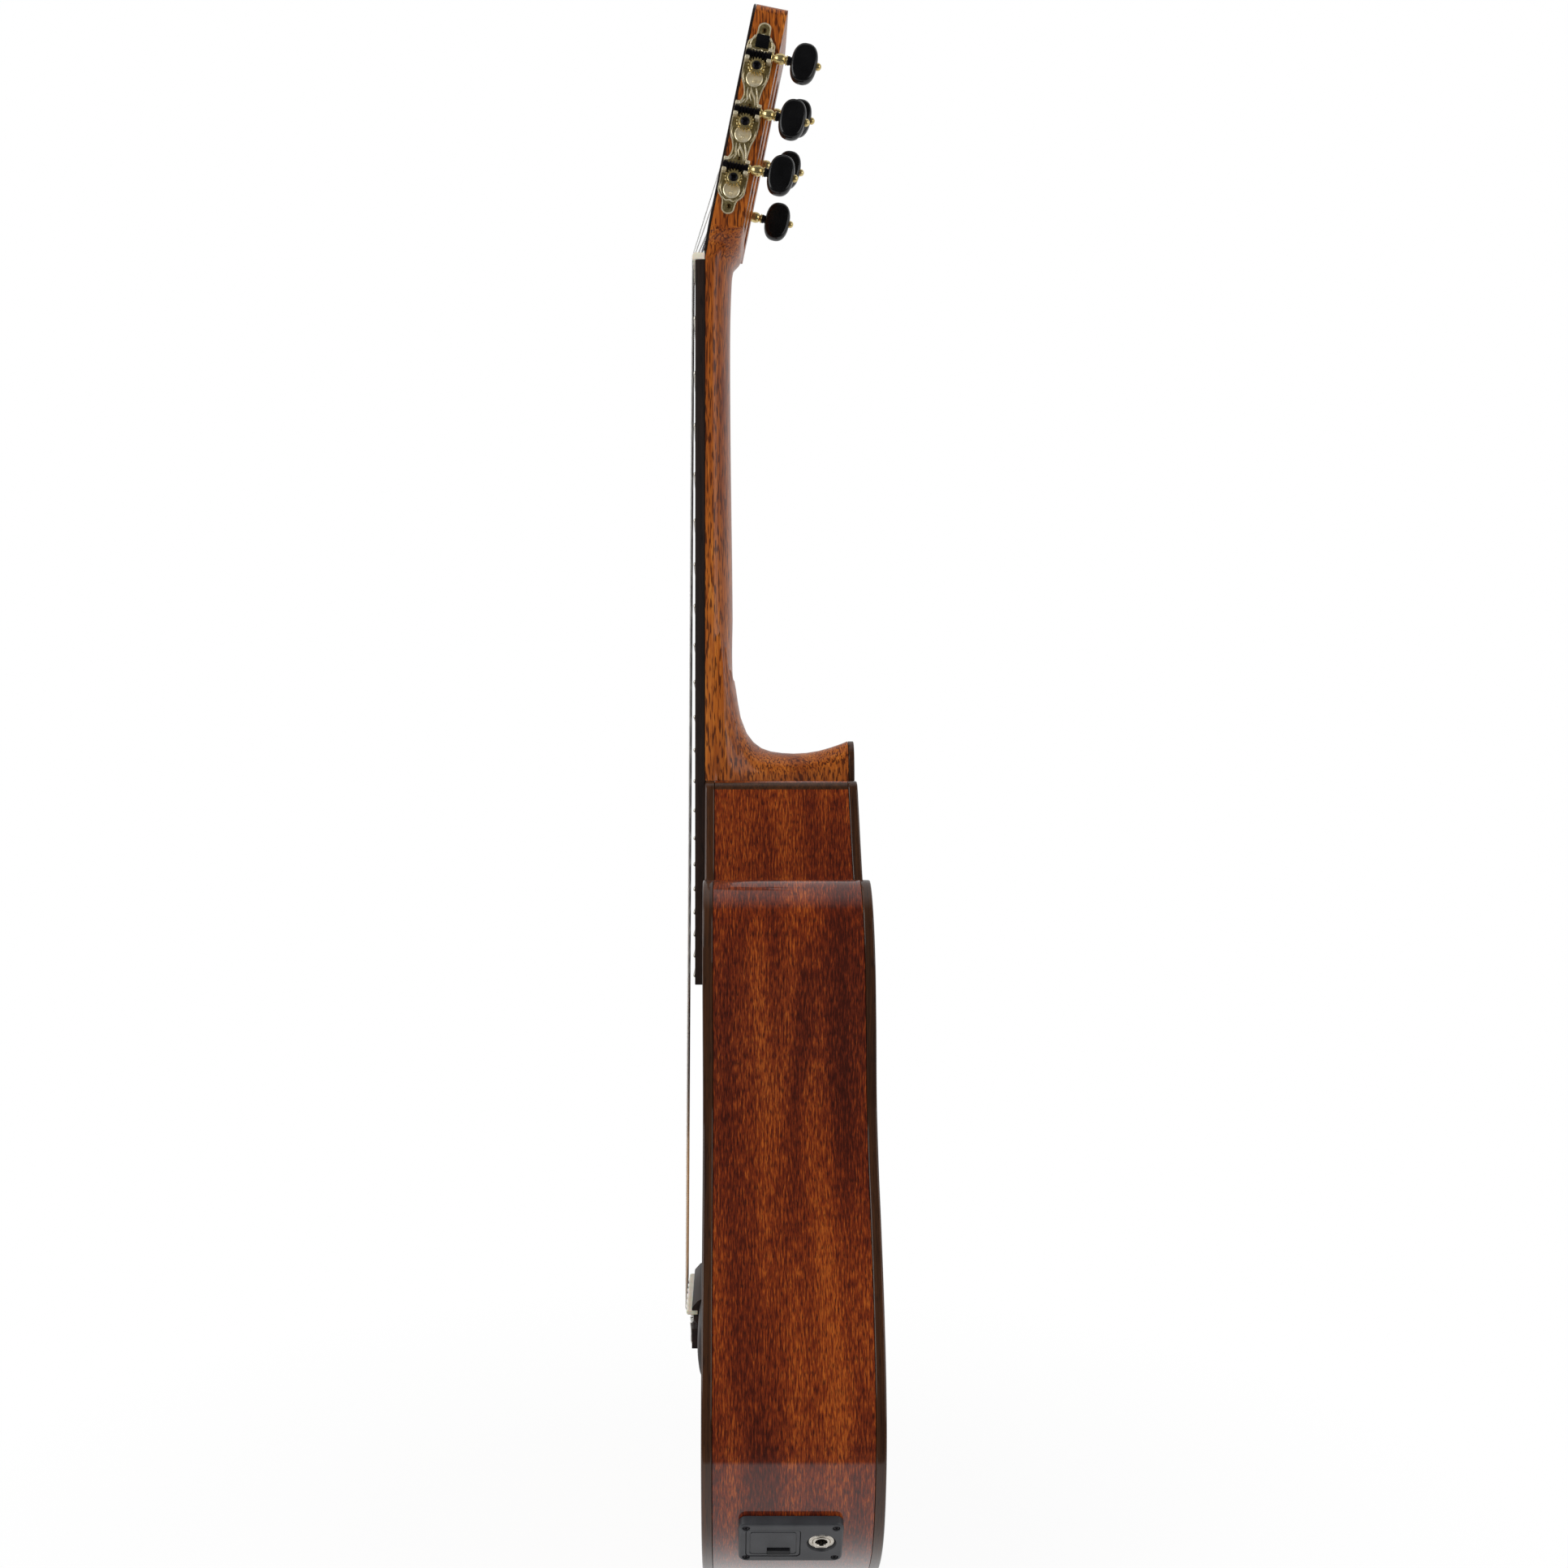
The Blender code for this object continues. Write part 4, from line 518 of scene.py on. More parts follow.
body = {
    "length": 479.0, "upper": 280.0, "waist": 240.0, "lower": 366.0, "depth": 98.3,
    "heelHalf": 34.0, "steps": 9, "side": 2.2, "plate": 2.6, "plateInset": 2.4,
    "binding": 6.0, "bindingRound": 1.1, "bindingGap": 0.04, "crossArch": 5650.0, "longArch": 7350.0,
}
bodyTop = scaleLength / 2


# the outline's own points as (y, depth), from the heel round the bass side to the cutaway
def outlineControls():
    upper, waist, lower = body["upper"] / 2, body["waist"] / 2, body["lower"] / 2
    lowerHalf = [(waist, 0.382)]
    lowerHalf += [(waist + (lower - waist) * k, t) for k, t in
                  ((0.10, 0.455), (0.40, 0.530), (0.72, 0.610), (0.95, 0.690), (1.0, 0.745))]
    lowerHalf += [(lower * k, t) for k, t in
                  ((0.965, 0.805), (0.90, 0.856), (0.785, 0.902), (0.585, 0.952), (0.33, 0.986))]
    bass = [(body["heelHalf"], 0.0)]
    bass += [(upper * k, t) for k, t in ((0.55, 0.012), (0.86, 0.062), (1.0, 0.165))]
    bass += [(0.55 * upper + 0.45 * waist, 0.275)]
    horn = [(0.55 * upper + 0.45 * waist, 0.285)]
    horn += [(upper * k, t) for k, t in (
        (0.985, 0.215), (0.970, 0.168), (0.905, 0.136), (0.810, 0.121), (0.690, 0.130), (0.570, 0.150),
        (0.455, 0.155), (0.360, 0.132), (0.305, 0.085), (0.275, 0.035))]
    horn += [(body["heelHalf"], 0.002)]
    treble = [(-y, t) for y, t in reversed(lowerHalf)] + [(-y, t) for y, t in horn]
    shares = [(0.0, 0.0), *bass, *lowerHalf, (0.0, 1.0), *treble]
    tail = len(bass) + len(lowerHalf) + 1
    return [(y, bodyTop + t * body["length"]) for y, t in shares], tail * body["steps"]


controls, tailStation = outlineControls()
outline = [Vector((p.x, max(p.y, bodyTop))) for p in smoothPath(controls, body["steps"], closed=True)]
stations = len(outline)


def outwardAt(i):
    along = outline[(i + 1) % stations] - outline[i - 1]
    return Vector((along.y, -along.x)).normalized()


def insetOutline(inset):
    return [outline[i] - outwardAt(i) * inset for i in range(stations)]


# height of the arched back over the soundboard plane
def backHeight(y, d):
    crown = bodyTop + 0.68 * body["length"]
    cross = ((body["lower"] / 2) ** 2 - y**2) / (2 * body["crossArch"])
    return body["depth"] + cross - (d - crown) ** 2 / (2 * body["longArch"])


def onBody(point, x):
    return Vector((x, point[0], -point[1]))


# a strip of wall: an edge along the points, pulled up to its height, given its thickness and a UV along it
def wallShape(points, low, high, thickness, radius=0.0):
    bm = bmesh.new()
    alongLayer = bm.verts.layers.float.new("along")
    verts, length = [], 0.0
    for i, point in enumerate(points):
        length += (point - points[i - 1]).length if i else 0.0
        vert = bm.verts.new(onBody(point, low(*point)))
        vert[alongLayer] = length * mm
        verts.append(vert)
    edges = [bm.edges.new(pair) for pair in zip(verts, verts[1:])]
    grown = bmesh.ops.extrude_edge_only(bm, edges=edges)["geom"]
    for vert in grown:
        if isinstance(vert, bmesh.types.BMVert):
            vert.co.x = high(vert.co.y, -vert.co.z)
    bmesh.ops.recalc_face_normals(bm, faces=bm.faces)
    middle = bm.faces[:][len(bm.faces) // 2]
    centre = Vector((middle.calc_center_median().x, 0, -(bodyTop + 0.6 * body["length"])))
    if middle.normal.dot(middle.calc_center_median() - centre) < 0:
        bmesh.ops.reverse_faces(bm, faces=bm.faces)
    bmesh.ops.solidify(bm, geom=bm.faces[:], thickness=thickness)
    if radius:
        outer = [e for e in edgesBeyond(bm, 60) if abs(e.verts[0].co.x - e.verts[1].co.x) < 2.0]
        rounded(bm, radius, 3, outer, clamped=False)
    uvLayer = bm.loops.layers.uv.new("grain")
    for face in bm.faces:
        for loop in face.loops:
            loop[uvLayer].uv = (loop.vert[alongLayer], loop.vert.co.x * mm)
    return bm


def level(x):
    return lambda y, d: x


def underBack(drop):
    return lambda y, d: backHeight(y, d) - drop


jackSpot = {"angle": math.radians(36.0), "centre": Vector((48.0, -164.7, -735.0))}
jackOut = Vector((0, -math.cos(jackSpot["angle"]), -math.sin(jackSpot["angle"])))
jackUp = Vector((0, -math.sin(jackSpot["angle"]), math.cos(jackSpot["angle"])))
jackFrame = axesAt(jackSpot["centre"], Vector((1, 0, 0)), jackUp, jackOut)


def makeWalls():
    edge = body["binding"] + body["bindingGap"]
    closed = outline + [outline[0]]
    for name, node, points in (
        ("sideBass", "side_bass", closed[: tailStation + 1]),
        ("sideTreble", "side_treble", closed[tailStation:]),
    ):
        shape = wallShape(points, level(edge), underBack(edge), body["side"])
        side = finishPiece(name, shape, sideWood, replaces=node, merge=0, angle=50)
        if node == "side_treble":
            cutPiece(side, placed(boxShape((51.0, 26.0, 40.0)), jackFrame))
    for name, node, low, high in (
        ("frontBinding", "front_binding", level(0.0), level(body["binding"])),
        ("backBinding", "back_binding", underBack(body["binding"]), underBack(0.0)),
    ):
        shape = wallShape(closed, low, high, body["side"], body["bindingRound"])
        finishPiece(name, shape, bindingWood, replaces=node, merge=0, angle=50)


# where the cutaway wall, beside the heel, reaches a depth, and its outward direction
def wallPoint(depth):
    for i in range(stations - 1, 0, -1):
        near, far = outline[i], outline[i - 1]
        if near.y <= depth <= far.y:
            return far.lerp(near, (far.y - depth) / (far.y - near.y)), outwardAt(i)


# the dark strip let into the side where the cutaway starts beside the heel
def makeEndStrip():
    start, wide, thick, proud = bodyTop + 1.0, 4.2, 0.8, 0.12
    spots = [wallPoint(start + wide * (1 - k / 8)) for k in range(9)]
    points = [place + outward * proud for place, outward in spots]
    edge = body["binding"] + body["bindingGap"]
    shape = wallShape(points, level(edge), underBack(edge), thick)
    finishPiece("cutawayEndStrip", shape, trimWood, replaces="cutaway_end_strip")


# the arched back: rings of the outline drawn in towards a centre, bridged, then given its thickness
def makeBack():
    edge = insetOutline(body["plateInset"])[::2]
    centre = Vector((0.0, bodyTop + 0.58 * body["length"]))
    rings = []
    for share in (1.0, 0.92, 0.82, 0.7, 0.56, 0.4, 0.22, 0.06):
        ring = [centre.lerp(p, share) for p in edge]
        rings.append([onBody(p, backHeight(*p)) for p in ring])
    bm = bridgeRings(rings, capped=False)
    middle = [e for e in bm.edges if e.is_boundary and abs(e.verts[0].co.y) < 20]
    bmesh.ops.holes_fill(bm, edges=middle, sides=0)
    bmesh.ops.recalc_face_normals(bm, faces=bm.faces)
    if sum(f.normal.x for f in bm.faces) < 0:
        bmesh.ops.reverse_faces(bm, faces=bm.faces)
    bmesh.ops.solidify(bm, geom=bm.faces[:], thickness=body["plate"])
    finishPiece("backPlate", bm, backWood, replaces="back_plate", merge=0)


soundhole = {"diameter": 85.0, "inner": 46.5, "outer": 60.0, "deep": 1.0, "boardEnd": 451.0}


# a flat ring turned about the Z axis
def ringShape(inner, outer, low, high):
    profile = [(inner, low), (outer, low), (outer, high), (inner, high), (inner, low)]
    return turnedShape(profile, 96)


def makeSoundboard():
    edge = [tuple(p) for p in insetOutline(body["plateInset"])]
    board = extrudedShape(edge, 0.0, body["plate"], lambda y, d, x: Vector((x, y, -d)))
    board = finishPiece("soundboardTop", board, topWood, replaces="soundboard")
    middle = soundhole["boardEnd"] + soundhole["diameter"] / 2
    across = Matrix.Translation((0, 0, -middle)) @ Matrix.Rotation(math.radians(90), 4, "Y")
    cutPiece(board, placed(rodShape(soundhole["diameter"] / 2, -5, 10, 96), across))
    groove = ringShape(soundhole["inner"] - 0.05, soundhole["outer"] + 0.05, -5.0, soundhole["deep"])
    cutPiece(board, placed(groove, across))
    ring = ringShape(soundhole["inner"], soundhole["outer"], 0.02, soundhole["deep"] - 0.05)
    finishPiece("rosetteRing", placed(ring, across), trimWood, replaces="rosette")


makeWalls()
makeEndStrip()
makeBack()
makeSoundboard()
print("body made")


# Tuning machines: two pressed plates, each with three worms, wheels and buttons

tuner = {
    "stations": (118.3, 83.3, 48.3), "depth": 9.9, "rise": 7.35, "wormOut": 39.6,
    "plate": (35.3, 36.5), "rim": 0.55, "slope": 0.30, "hollow": 0.45,
    "square": (135.8, 8.2),
    "screws": ((142.7, 0.0, 1.5), (95.6, 0.4, 1.1), (62.4, 0.6, 1.1), (32.2, 0.4, 1.5)),
    "teeth": 16, "tip": 5.4, "root": 3.9, "gear": (37.9, 41.3), "screwHead": (2.75, 1.2),
    "pitch": 1.924, "wormRadius": 2.8, "wormPitchRadius": 2.25, "wormCore": 1.75, "wormHalf": 5.0,
    "wheelPitchRadius": 4.9, "lug": (2.8, 2.0, 5.9), "lugAt": (3.3, 6.75, 39.1),
    "button": (25.0, 16.4, 8.0), "buttonCentre": 28.2,
}
# the plate's edge beside and below each wheel: (from the wheel along the head, from the axis)
frontEdge = (
    (5.0, 8.6), (-4.0, 8.5), (-8.0, 7.6), (-11.5, 5.9), (-15.5, 4.8), (-19.5, 5.3), (-23.0, 7.4),
    (-25.0, 8.6))
backEdge = (
    (5.0, 8.7), (-4.0, 8.6), (-8.0, 7.7), (-12.0, 6.5), (-17.0, 5.9), (-21.0, 5.7), (-24.5, 6.6),
    (-26.0, 8.6))


# up along the head, back from the roller axis and out from the middle, for either side
def plateFrame(side):
    return axesAt(onHead(0, 0, tuner["depth"]), headUp, headBack, Vector((0, side, 0)))


# shaft frame: Z along the worm, X up the head
def wormFrame(up, side):
    origin = onHead(up + tuner["rise"], side * tuner["wormOut"], tuner["depth"])
    return axesAt(origin, headUp, Vector((0, -1, 0)), headBack)


# a screw's place, its cross recess turned so that +X goes to (cosine, sine)
def screwFrame(origin, cosine, sine):
    return axesAt(Vector(origin), Vector((cosine, sine, 0)), Vector((-sine, cosine, 0)), Vector((0, 0, 1)))


def plateEdge(table, sign):
    points = [(139.4, 4.3), (137.6, 5.2), (136.0, 7.0), (134.2, 8.6)]
    for up in tuner["stations"]:
        last = up == tuner["stations"][-1]
        points += [(up + t, half) for t, half in (table[:2] if last else table)]
    points += [(40.6, 8.4), (38.2, 7.0), (36.2, 5.1), (34.2, 4.4)]
    return [(up, sign * half) for up, half in points]


# a raised leaf or scroll: a rounded rib along a path on the plate, thin at both ends
def ribShape(path, wide, tall):
    points = smoothPath([(*p, tuner["plate"][1] - tuner["hollow"] - 0.05) for p in path], 4)
    turns = [math.pi * k / 4 for k in range(8)]
    rings = []
    for i, point in enumerate(points):
        along = (points[min(i + 1, len(points) - 1)] - points[max(i - 1, 0)]).normalized()
        across = Vector((-along.y, along.x, 0))
        size = math.sin(math.pi * (0.07 + 0.86 * i / (len(points) - 1)))
        rings.append([
            point + across * (0.5 * wide * size * math.cos(a)) + Vector((0, 0, tall * size * math.sin(a)))
            for a in turns])
    return bridgeRings(rings)


# turned on a spot of the plate's middle line
def spotShape(profile, up, sides):
    shape = turnedShape([(r, tuner["plate"][1] - tuner["hollow"] + h) for r, h in profile], sides)
    bmesh.ops.translate(shape, vec=(up, 0, 0), verts=shape.verts)
    return shape


def makePlate(label, side):
    place = plateFrame(side)
    low, high = tuner["plate"]
    tab = [polar(4.4, math.radians(degrees)) for degrees in (-60, -30, 0, 30, 60)]
    tabTop, tabFoot = [(142.9 + a, -b) for a, b in tab], [(31.7 - a, b) for a, b in tab]
    controls = tabTop + plateEdge(frontEdge, -1) + tabFoot + plateEdge(backEdge, 1)[::-1]
    edge = [tuple(p) for p in smoothPath(controls, 3, closed=True)]
    plate = extrudedShape(edge, low, high, lambda u, b, c: Vector((u, b, c)))
    top = [f for f in plate.faces if f.calc_center_median().z > high - 0.01]
    bmesh.ops.recalc_face_normals(plate, faces=plate.faces)
    bmesh.ops.inset_region(plate, faces=top, thickness=tuner["rim"], use_even_offset=True)
    bmesh.ops.inset_region(
        plate, faces=top, thickness=tuner["slope"], depth=-tuner["hollow"], use_even_offset=True)
    # the sunken field takes the second, darker gold: painted shade
    for face in top:
        face.material_index = 1
    dish = ((0, 0.1), (1.6, 0.15), (3.4, 0.3), (4.3, 0.62), (4.8, 0.66), (5.2, 0.4), (5.3, -0.1), (0, -0.1))
    pip = ((0, 0.95), (0.5, 0.85), (0.9, 0.3), (0.95, 0.1), (0, 0.1))
    for up in tuner["stations"]:  # the dish under each wheel, with its raised lip and middle
        addCopy(plate, spotShape(dish, up - 6.0, 36))
        addCopy(plate, spotShape(pip, up - 7.8, 12))
    ribs = []
    for up in tuner["stations"][:2]:  # leaves that run down each waist
        ribs += [
            (((up - 11.6, -1.0), (up - 14.5, 0.2), (up - 18.0, 2.6), (up - 22.6, 3.6)), 1.5, 0.55),
            (((up - 11.2, 2.0), (up - 14.0, 3.2), (up - 18.0, 4.3), (up - 22.0, 4.4)), 1.3, 0.5),
            (((up - 11.8, -2.8), (up - 15.0, -2.6), (up - 19.0, -1.8), (up - 22.0, -3.0)), 1.4, 0.5),
            (((up - 19.0, -3.0), (up - 21.6, -4.6), (up - 23.6, -6.8)), 1.2, 0.45),
            (((up - 13.0, -0.6), (up - 16.5, -0.8), (up - 20.0, 0.8)), 0.9, 0.4),
        ]
    for up in tuner["stations"]:  # scrolls either side of each dish
        ribs += [
            (((up - 2.0, -7.0), (up - 6.0, -7.1), (up - 9.6, -5.2)), 0.9, 0.4),
            (((up - 2.0, 7.1), (up - 6.0, 7.2), (up - 9.6, 5.4)), 0.9, 0.4),
        ]
    ribs += [  # round the enamel square, and at the foot
        (((139.0, -5.0), (135.0, -6.6), (130.8, -6.8)), 1.2, 0.5),
        (((139.0, 5.0), (135.0, 6.6), (130.8, 6.8)), 1.2, 0.5),
        (((130.6, -5.2), (129.6, -1.6), (130.9, 1.0)), 1.1, 0.5),
        (((130.4, 5.2), (129.4, 2.4), (130.6, 0.4)), 1.1, 0.5),
        (((138.9, -3.0), (140.0, 0.0), (138.9, 3.0)), 0.8, 0.4),
        (((37.4, -4.6), (35.4, -2.4), (36.2, 0.0), (35.4, 2.4), (37.4, 4.6)), 1.1, 0.45),
    ]
    for path, wide, tall in ribs:
        addCopy(plate, ribShape(path, wide, tall))
    wide, thick, tall = tuner["lug"]
    over, along, out = tuner["lugAt"]
    for up in tuner["stations"]:  # lugs folded up from the plate, above and below each journal
        for end in (-1, 1):
            for above in (-1, 1):
                centre = (up + tuner["rise"] + above * over, end * along, out)
                addCopy(plate, boxShape((thick, wide, tall), centre, 0.45, 3))
    finishPiece(
        f"tunerPlate_{label}", placed(plate, place), [plateGold, plateHollow],
        replaces=f"tuner_plate_{label}", angle=35)
    squareAt, size = tuner["square"]
    square = boxShape((size, size, 0.5), (squareAt, 0.3, high - tuner["hollow"] + 0.2), 0.12)
    finishPiece(f"enamelSquare_{label}", placed(square, place), blackEnamel)
    heads = bmesh.new()
    for up, back, radius in tuner["screws"]:
        addCopy(heads, screwShape(radius, 0.55), screwFrame((up, back, high - tuner["hollow"]), 0.8, 0.6))
    finishPiece(f"plateScrews_{label}", placed(heads, place), agedScrew)


# a black thread: one pitch of its section screwed round the shaft, cut square at both ends
def threadShape():
    core, crest, pitch, half = tuner["wormCore"], tuner["wormRadius"], tuner["pitch"], tuner["wormHalf"]
    start, turns, around = -4.4 * pitch, 8, 20
    section = [
        (core, 0.0), (crest - 0.25, 0.26), (crest, 0.34), (crest, 0.46), (crest - 0.25, 0.54), (core, 0.8),
        (core, 1.0)]
    bm = bmesh.new()
    verts = [bm.verts.new((radius, 0, start + share * pitch)) for radius, share in section]
    edges = [bm.edges.new(pair) for pair in zip(verts, verts[1:])]
    bmesh.ops.spin(
        bm, geom=verts + edges, cent=(0, 0, 0), axis=(0, 0, 1), dvec=(0, 0, pitch / around),
        angle=math.tau * turns, steps=turns * around, use_merge=False)
    bmesh.ops.remove_doubles(bm, verts=bm.verts, dist=0.001)
    for height, up in ((half, 1), (-half, -1)):
        bmesh.ops.bisect_plane(
            bm, geom=bm.verts[:] + bm.edges[:] + bm.faces[:], plane_co=(0, 0, height), plane_no=(0, 0, up),
            clear_outer=True)
    bmesh.ops.holes_fill(bm, edges=[e for e in bm.edges if e.is_boundary], sides=0)
    return bm


# an oval button, flat on its two faces and rounded towards its edge
def buttonShape():
    length, wide, thick = tuner["button"]
    rings = []
    for share, size in (
        (-1.0, 0.70), (-0.985, 0.79), (-0.90, 0.875), (-0.70, 0.945), (-0.38, 0.988), (0.0, 1.0),
        (0.38, 0.988), (0.70, 0.945), (0.90, 0.875), (0.985, 0.79), (1.0, 0.70)):
        ring = []
        for k in range(48):
            a = math.tau * k / 48
            x = math.copysign(abs(math.cos(a)) ** 0.82, math.cos(a)) * length / 2
            z = math.copysign(abs(math.sin(a)) ** 0.82, math.sin(a)) * wide / 2
            ring.append(Vector((x * size, share * thick / 2, tuner["buttonCentre"] + z * size)))
        rings.append(ring)
    return bridgeRings(rings)


# the toothed rim, each layer turned a little so that the teeth follow the worm
def wheelShape(side):
    lead = tuner["pitch"] / (math.tau * tuner["wormPitchRadius"])
    inner, outer = tuner["gear"]
    tip, root = tuner["tip"], tuner["root"]
    rings = []
    for share, shrink in ((0.0, 0.5), (0.12, 0.0), (0.5, 0.12), (0.88, 0.0), (1.0, 0.5)):
        out = inner + (outer - inner) * share
        twist = side * lead * (out - tuner["wormOut"]) / tuner["wheelPitchRadius"]
        ring = []
        for tooth in range(tuner["teeth"]):
            for place, radius in ((-0.42, root), (-0.17, tip - shrink), (0.17, tip - shrink), (0.42, root)):
                a = math.tau * (tooth + place) / tuner["teeth"] + twist
                ring.append(Vector((*polar(radius, a), out)))
        rings.append(ring)
    return bridgeRings(rings)


def makeMachine(label, side, rank):
    up = tuner["stations"][rank - 1]
    worm, wheel = wormFrame(up, side), plateFrame(side)
    wheel.translation = onHead(up, 0, tuner["depth"])
    place = f"{label}_{rank}"
    turner = f"tuner_{place}"
    half = tuner["wormHalf"]
    black = threadShape()
    for low, high in ((-8.3, -half + 0.05), (half - 0.05, 8.2)):  # journals in the lugs
        near, far = sorted((low, high), key=abs)
        sign = 1 if low > 0 else -1
        profile = [
            (0, near), (1.9, near), (2.1, near + 0.3 * sign), (2.1, far - 0.3 * sign), (1.8, far), (0, far)]
        addCopy(black, turnedShape(profile, 20))
    collar = [(0, 17.9), (2.5, 17.9), (2.75, 18.2), (2.75, 18.9), (2.45, 19.3), (2.45, 20.2), (0, 20.2)]
    addCopy(black, turnedShape(collar, 24))
    finishPiece(f"worm_{place}", placed(black, worm), blackSteel, body=turner,
                replaces=f"worm_shaft_{place}", angle=32)
    gold = turnedShape([
        (0, 7.9), (2.5, 7.9), (2.7, 8.2), (2.7, 8.6), (2.3, 8.9), (1.7, 9.3), (1.75, 9.7), (2.5, 10.4),
        (3.1, 11.5), (3.4, 12.9), (3.35, 14.2), (2.95, 15.5), (2.3, 16.3), (1.95, 16.6), (2.2, 16.8),
        (2.9, 17.0), (3.0, 17.35), (2.8, 17.75), (2.2, 17.95), (0, 17.95)], 28)
    ball = [polar(2.3, math.radians(degrees)) for degrees in (-40, -20, 0, 20, 40, 60, 75)]
    tip = [(0, 34.6), (1.9, 34.6), (2.0, 34.9), (1.9, 35.2), (1.5, 35.3)]
    tip += [(r, 36.8 + height) for r, height in ball] + [(0, 39.1)]
    addCopy(gold, turnedShape(tip, 24))
    finishPiece(f"wormShaft_{place}", placed(gold, worm), polishedGold, body=turner,
                replaces=f"worm_shaft_{place}", angle=50)
    finishPiece(f"button_{place}", placed(buttonShape(), worm), buttonBlack, body=turner,
                replaces=f"button_{place}", angle=60)

    gear = wheelShape(side)
    inner, outer = tuner["gear"]
    low, high = outer - 0.1, outer + 0.3
    hub = [(0, low), (3.7, low), (3.75, outer + 0.1), (3.5, high), (0, high)]
    axle = [(0, 24.5), (3.0, 24.5), (3.0, inner + 0.1), (0, inner + 0.1)]
    pin = [(0, 3.0), (1.8, 3.0), (1.8, 9.0), (0, 9.0)]
    for profile, sides in ((hub, 32), (axle, 20), (pin, 16)):
        addCopy(gear, turnedShape(profile, sides))
    roller = f"roller_{place}"
    finishPiece(f"wormWheel_{place}", placed(gear, wheel), polishedGold, body=roller,
                replaces=f"string_roller_{place}", angle=35)
    screw = placed(screwShape(*tuner["screwHead"]), screwFrame((0, 0, outer + 0.1), 0.9, 0.43589))
    finishPiece(f"wheelScrew_{place}", placed(screw, wheel), blackSteel, body=roller,
                replaces=f"string_roller_{place}", angle=50)
    barrel = turnedShape([(0, 8.3), (4.5, 8.3), (4.9, 8.8), (4.9, 23.2), (4.5, 23.7), (0, 23.7)], 32)
    finishPiece(f"rollerBarrel_{place}", placed(barrel, wheel), boneResin, body=roller,
                replaces=f"string_roller_{place}", angle=50)


for label, side in (("treble", -1), ("bass", 1)):
    makePlate(label, side)
    for rank in (1, 2, 3):
        makeMachine(label, side, rank)
print("tuning machines made")


# Neck, slotted head, heel and fingerboard

neck = {
    "nutWidth": 52.0, "bodyWidth": 62.0, "headThick": 21.5, "veneer": 1.5, "headRound": 1.6,
    "slotWide": 16.0, "slotMiddle": 16.0, "slot": (22.0, 136.0), "heelReach": 18.0, "capThick": 3.6,
    "board": 6.0, "boardLength": 451.0, "frets": 20, "fretWide": 2.4, "fretTall": 1.1,
}
# how deep the neck is behind the board from the head's foot down: (mm below the nut, depth)
neckDepths = (
    (-22.0, 24.58), (-18.0, 23.73), (-14.0, 22.88), (-9.6, 21.9), (-6.4, 20.0), (-2.4, 17.9), (2.5, 16.9),
    (7.0, 16.5), (19.0, 16.0), (34.0, 15.6), (70.0, 15.5), (130.0, 16.0), (190.0, 16.8), (235.0, 17.2),
    (250.0, 17.35), (264.0, 17.5), (278.0, 17.65), (292.0, 17.8), (306.0, 18.0), (324.7, 18.2),
)
boardBack, boardFace = -0.3, -0.3 - neck["board"]


def boardHalf(d):
    share = max(d, 0) / bodyTop
    return (neck["nutWidth"] + (neck["bodyWidth"] - neck["nutWidth"]) * share) / 2


# half the head's width at a height on it
headWidths = ((7.0, 26.0), (8.6, 26.9), (10.8, 28.7), (13.6, 31.4), (16.6, 33.8), (20.0, 35.0))


def headHalf(up):
    for (low, narrow), (high, wide) in zip(headWidths, headWidths[1:]):
        if up <= high:
            return narrow + (wide - narrow) * max((up - low) / (high - low), 0)
    return headWidths[-1][1]


# a D-shaped section of the neck at depth d, reaching back by deep
def neckRing(d, deep):
    points = 20
    half = max(boardHalf(d), headHalf(-d) - 0.1)
    face = max(0.0, 0.2 - 0.21 * d) if d < 0 else 0.0  # inside the head it keeps behind the tilted face
    square = min(max((-d - 3) / 12, 0), 1)  # it turns from a D to the head's flat-sided section
    ring = []
    for k in range(points + 1):
        a = math.pi * k / points
        across = math.copysign(abs(math.cos(a)) ** (1 - 0.72 * square), math.cos(a))
        ring.append(Vector((face + (deep - face) * math.sin(a) ** (0.75 - 0.5 * square), half * across, -d)))
    return ring


heelStart, heelEnd = 9.1, backHeight(0, bodyTop) - 3.9  # the heel's heights behind the board


# a slice of the heel at a height behind the board, from the body to its curved front
def heelRing(x):
    points, broad, slim = 24, 31, 12  # its half widths at its start and end
    hollow = 55  # the height where its front starts to draw back to the body
    flare = 40 * math.exp(-(x - neckDepths[-1][1]) / 7)
    reach = bodyTop - neck["heelReach"] - flare - 8 * max(0, (x - hollow) / (heelEnd - hollow)) ** 2
    share = min(max((x - heelStart) / (heelEnd - heelStart), 0), 1)
    half = broad * (1 - share) ** 1.3 + slim * (1 - (1 - share) ** 1.3)
    foot = bodyTop - 0.3
    ring = []
    for k in range(points + 1):
        a = math.pi * k / points
        ring.append(Vector((x, half * math.cos(a), -(foot - (foot - reach) * math.sin(a) ** 0.85))))
    return ring


# the head's outline as (up, across): waisted foot, straight sides, flat crowned top
def headOutline(low):
    half = [(low, 26.0), *headWidths[1:]]
    half += [(154.0, 35.0), (157.6, 34.2), (159.6, 32.0)]
    half += [(160.4, 20.0)]
    return half + [(160.8, 0.0)] + [(up, -y) for up, y in reversed(half)]


def headShape(low, front, back):
    return extrudedShape(headOutline(low), front, back, onHead)


# a cutter for one slot, round at both ends
def slotShape(side, front, back):
    low, high = neck["slot"]
    radius = neck["slotWide"] / 2
    bow = [polar(radius, math.radians(90 - 15 * k)) for k in range(13)]
    points = [(high - radius + a, side * neck["slotMiddle"] + b) for a, b in bow]
    points += [(low + radius - a, side * neck["slotMiddle"] - b) for a, b in bow]
    return extrudedShape(points, front, back, onHead)


